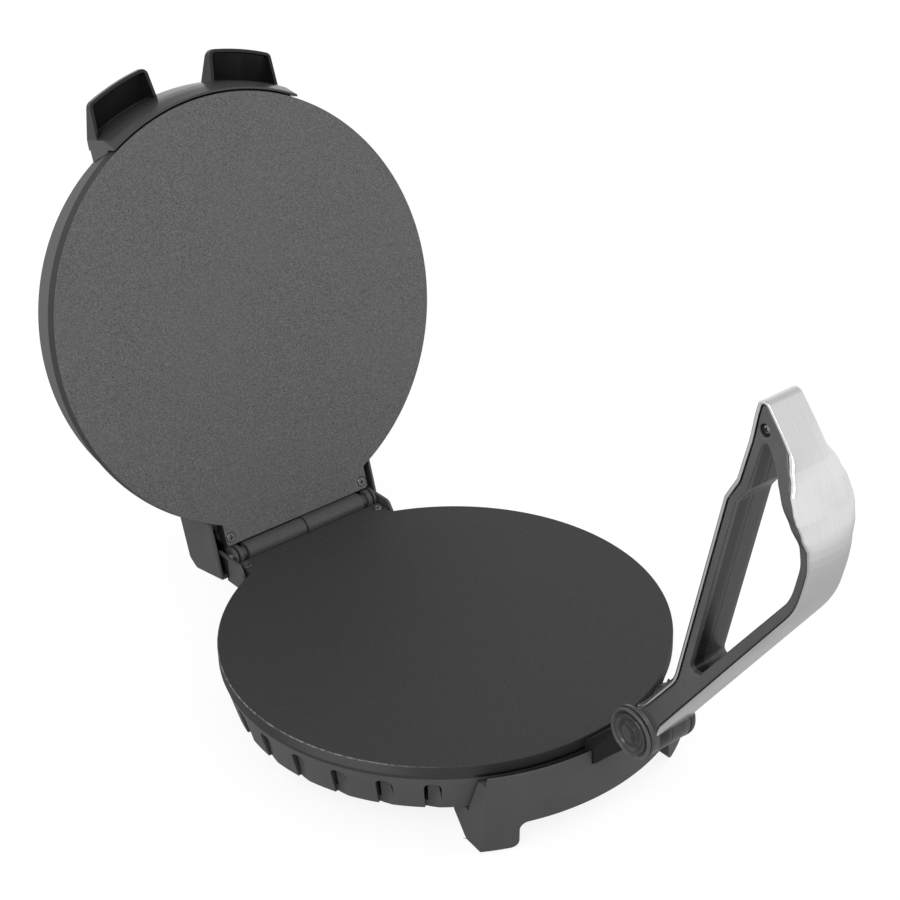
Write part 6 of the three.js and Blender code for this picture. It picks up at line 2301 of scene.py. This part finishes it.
@dataclass
class Studio:
    """Floor, soft light and the camera at the photograph's angle."""

    azimuth_deg: float = -38.19
    elevation_deg: float = 29.84
    roll_deg: float = -1.88
    distance: float = 1171.7
    aside: float = 2.9
    above: float = 97.8
    lens: float = 83.51
    floor_half: float = 6.0
    floor_glow: float = 0.86
    reflected_glow_painted_shade: Flat = (0.3, 0.72)
    room_light: float = 0.62
    dim_from: float = 0.25
    dim_to: float = 0.95
    overhead: float = 0.5

    def camera(self, stance: Stance) -> None:
        """Sets the camera where the photograph was taken.

        Args:
            stance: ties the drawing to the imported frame.
        """
        az, el, roll = (math.radians(v) for v in (self.azimuth_deg, self.elevation_deg, self.roll_deg))
        back = Vector((math.sin(az) * math.cos(el), -math.cos(az) * math.cos(el), math.sin(el)))
        level = Vector((math.cos(az), math.sin(az), 0))
        raised = back.cross(level)
        right = level * math.cos(roll) + raised * math.sin(roll)
        up = raised * math.cos(roll) - level * math.sin(roll)
        drawn = back * self.distance + right * self.aside + up * self.above
        place = stance.matrix(Body.BASE) @ drawn
        data = bpy.data.cameras.new("camera")
        data.sensor_width = 36
        data.lens = self.lens
        made = linked("camera", data)
        made.matrix_world = Matrix.Translation(place) @ Matrix((right, up, back)).transposed().to_4x4()
        bpy.context.scene.camera = made

    def floor(self) -> None:
        """A pale floor that shows white to the camera and keeps the object's shadow; in reflections its glow is
        painted dimmer near the object, a painted shadow.
        """
        mesh = bpy.data.meshes.new("floor")
        h = self.floor_half
        mesh.from_pydata([(-h, -h, 0), (h, -h, 0), (h, h, 0), (-h, h, 0)], [], [(0, 1, 2, 3)])
        linked("floor", mesh)
        mesh.materials.append(bpy.data.materials.new("pale floor"))
        graph = Graph(mesh.materials[0])
        graph.tree.nodes.remove(graph.shader)
        seen, in_gloss = graph.rays()
        colour = graph.mix(seen + in_gloss, (0.8, 0.8, 0.8), (0.22, 0.22, 0.22))
        spread = graph.node("ShaderNodeBsdfDiffuse", inputs={"Color": colour})
        place = graph.node("ShaderNodeTexCoord", output="Object")
        far = graph.node("ShaderNodeVectorMath", {"operation": "LENGTH"}, {0: place}, "Value")
        # Painted shadow: in reflections the floor's glow is painted dimmer near the object.
        strength = seen * self.floor_glow + in_gloss * far.ramp(0.3, 1.0, *self.reflected_glow_painted_shade)
        glow = graph.node("ShaderNodeEmission", inputs={"Strength": strength})
        both = graph.node("ShaderNodeAddShader", inputs={0: spread, 1: glow})
        out = next(n for n in graph.tree.nodes if n.type == "OUTPUT_MATERIAL")
        graph.tree.links.new(both.socket, out.inputs["Surface"])

    def world(self) -> None:
        """White to the camera, a room that darkens overhead in reflections, a soft light for the rest."""
        world = bpy.data.worlds.new("soft room")
        bpy.context.scene.world = world
        graph = Graph(world, "BACKGROUND")
        seen, in_gloss = graph.rays()
        towards = graph.node("ShaderNodeTexCoord", output="Generated")
        upwards = graph.node("ShaderNodeSeparateXYZ", inputs={0: towards}, output="Z")
        dimming = graph.node("ShaderNodeMapRange", inputs={
            "Value": upwards, "From Min": self.dim_from, "From Max": self.dim_to,
            "To Min": 1.0, "To Max": self.overhead,
        })
        room = graph.node("ShaderNodeMix", inputs={0: in_gloss, 2: self.room_light, 3: dimming})
        graph.feed(
            Strength=graph.node("ShaderNodeMix", inputs={0: seen, 2: room, 3: 1.0}),
            Color=(1.0, 1.0, 1.0),
        )

    def lamp(
        self, name: str, place: Sequence[float], aim: Sequence[float], size: float, watts: float, gloss: bool = True
    ) -> None:
        """One soft panel.

        Args:
            name: its name.
            place: where it hangs, in metres.
            aim: what it points at.
            size: its side.
            watts: its power.
            gloss: whether it shows in reflections.
        """
        data = bpy.data.lights.new(name, "AREA")
        data.shape = "SQUARE"
        data.size = size
        data.energy = watts
        made = linked(name, data)
        made.visible_glossy = gloss
        made.location = place
        made.rotation_mode = "QUATERNION"
        made.rotation_quaternion = (Vector(aim) - Vector(place)).to_track_quat("-Z", "Y")

    def set_up(self, stance: Stance) -> None:
        """Builds the whole stage.

        Args:
            stance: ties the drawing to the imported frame.
        """
        self.camera(stance)
        self.floor()
        self.world()
        self.lamp("key", (-1.4, -0.9, 1.6), (0, 0, 0.1), 1.2, 14)
        self.lamp("fill", (1.6, -1.2, 1.0), (0, 0, 0.1), 1.9, 11, False)
        bpy.context.scene.view_settings.view_transform = "Standard"


# Assembly


@dataclass
class RotiMaker:
    """The whole appliance."""

    frame: dict[str, Any]
    bench: Bench
    plate: CookingPlate = field(default_factory=CookingPlate)
    casing: Casing = field(default_factory=Casing)

    def build_base(self) -> None:
        """The pieces that stand still."""
        fit = functools.partial(self.bench.fit, Body.BASE)
        fit("lower_plate", self.plate.build(), LOWER_PLATE, "base_plate")
        fit("skirt", self.casing.skirt(), SKIRT, "base_shell")
        fit("underside", self.casing.cover(), CASING, "bottom_cover")
        bracket = Bracket(self.casing)
        fit("front_legs", bracket.front(), SATIN, "front_bracket")
        rear = bracket.rear().beside(HingeEars(self.casing).build())
        fit("rear_legs_and_ears", rear, EARS, "rear_bracket")
        fit("arm", PivotArm().build(), BLACK, "pivot_arm")
        fit("cord_grommet", CordInlet().build(), RUBBER, "cord_inlet")
        x, y = bracket.foot_x, bracket.foot_y
        feet = Repeats.at(Foot().build(), [(a, b, FLOOR_Z) for a in (-x, x) for b in (-y, y)])
        fit("feet", feet, RUBBER, "foot_front_left", "foot_front_right", "foot_rear_left", "foot_rear_right")
        hinge_screws = Repeats.at(CrossScrew().build(), pair(SCREW_X, SCREW_Y, -0.15))
        fit("lower_hinge_screws", hinge_screws, HINGE_SCREW, "base_hinge_screw_left", "base_hinge_screw_right")
        low_screw = CrossScrew(head_radius=2.9, head_height=1.6, length=10, countersunk=False).build()
        placed = low_screw.moved(spun(180, "X")).moved(Matrix.Translation((COVER_SCREW, COVER_SCREW, -32.6)))
        fit("underside_screws", Repeats.ring(placed, 4, 0, 90), SCREW,
            *(f"bottom_screw_{number}" for number in range(1, 5)))
        long_screw = CrossScrew(head_radius=2.9, head_height=1.6, length=13, countersunk=False).build()
        arm_screws = Repeats.at(long_screw.moved(spun(180, "X")), pair(6.5, -132.8, -20.9))
        fit("arm_screws", arm_screws, SCREW, "pivot_arm_screw_left", "pivot_arm_screw_right")

    def build_lid(self) -> None:
        """The pieces that turn on the hinge."""
        fit = functools.partial(self.bench.fit, Body.LID)
        fit("upper_plate", turned_over(self.plate.build()), UPPER_PLATE, "lid_plate")
        fit("lid_dome", turned_over(self.casing.dome()), CASING, "lid_shell")
        fit("collar_and_grips", LidCollar(self.casing).build(), GRIP_BLACK, "lid_collar")
        cover = HingeCover(self.casing)
        fit("back_cover", cover.build(), SATIN, "hinge_cover")
        fit("red_lamp", cover.lamp(-cover.lamp_x), RED_LENS, "lamp_power")
        fit("green_lamp", cover.lamp(cover.lamp_x), GREEN_LENS, "lamp_ready")
        screws = Repeats.at(CrossScrew().build().moved(spun(180, "Y")), pair(SCREW_X, SCREW_Y, 2.15))
        fit("upper_hinge_screws", screws, HINGE_SCREW, "lid_hinge_screw_left", "lid_hinge_screw_right")

    def build_lever(self) -> None:
        """The pieces that turn on the pivot."""
        fit = functools.partial(self.bench.fit, Body.LEVER)
        lever = Lever()
        for side, hand in (("left", -1), ("right", 1)):
            fit(f"lever_{side}_half", lever.body_half(hand), LEVER_BLACK, f"lever_{side}")
            fit(f"{side}_cap", lever.cap(hand), CAP_BLACK, f"pivot_cap_{side}")
        fit("strip", lever.strip_band(), STRIP, "lever_band", smooth_deg=40)
        screw = CrossScrew(head_radius=2.45, head_height=1.6, length=14.9, countersunk=False).build()
        place = Matrix.Translation((-9.2, *lever.screw_place())) @ spun(-90, "Y")
        fit("tip_screw", screw.moved(place), HINGE_SCREW, "lever_tip_screw")

    def dress_kept_nodes(self) -> None:
        """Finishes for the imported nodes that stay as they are."""
        kept = {
            BRIGHT: ("base_heater", "base_reflector", "lid_heater", "lid_reflector", "hinge_pin", "pivot_pin"),
            CERAMIC: ("thermostat", "thermal_fuse", "terminal_block"),
        }
        for finish, nodes in kept.items():
            for node in nodes:
                self.bench.dress_node(self.frame, node, finish)


def main() -> None:
    """Builds the appliance on its frame and the stage round it."""
    logging.basicConfig(level=logging.INFO, format="%(name)s: %(message)s")
    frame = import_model()
    stance = Stance.of_frame(frame)
    Studio().set_up(stance)
    maker = RotiMaker(frame, Bench(stance))
    for step in (maker.build_base, maker.build_lid, maker.build_lever, maker.dress_kept_nodes):
        step()
    log.info("%d pieces fitted", len(maker.bench.fitted))


if __name__ == "__main__":
    main()
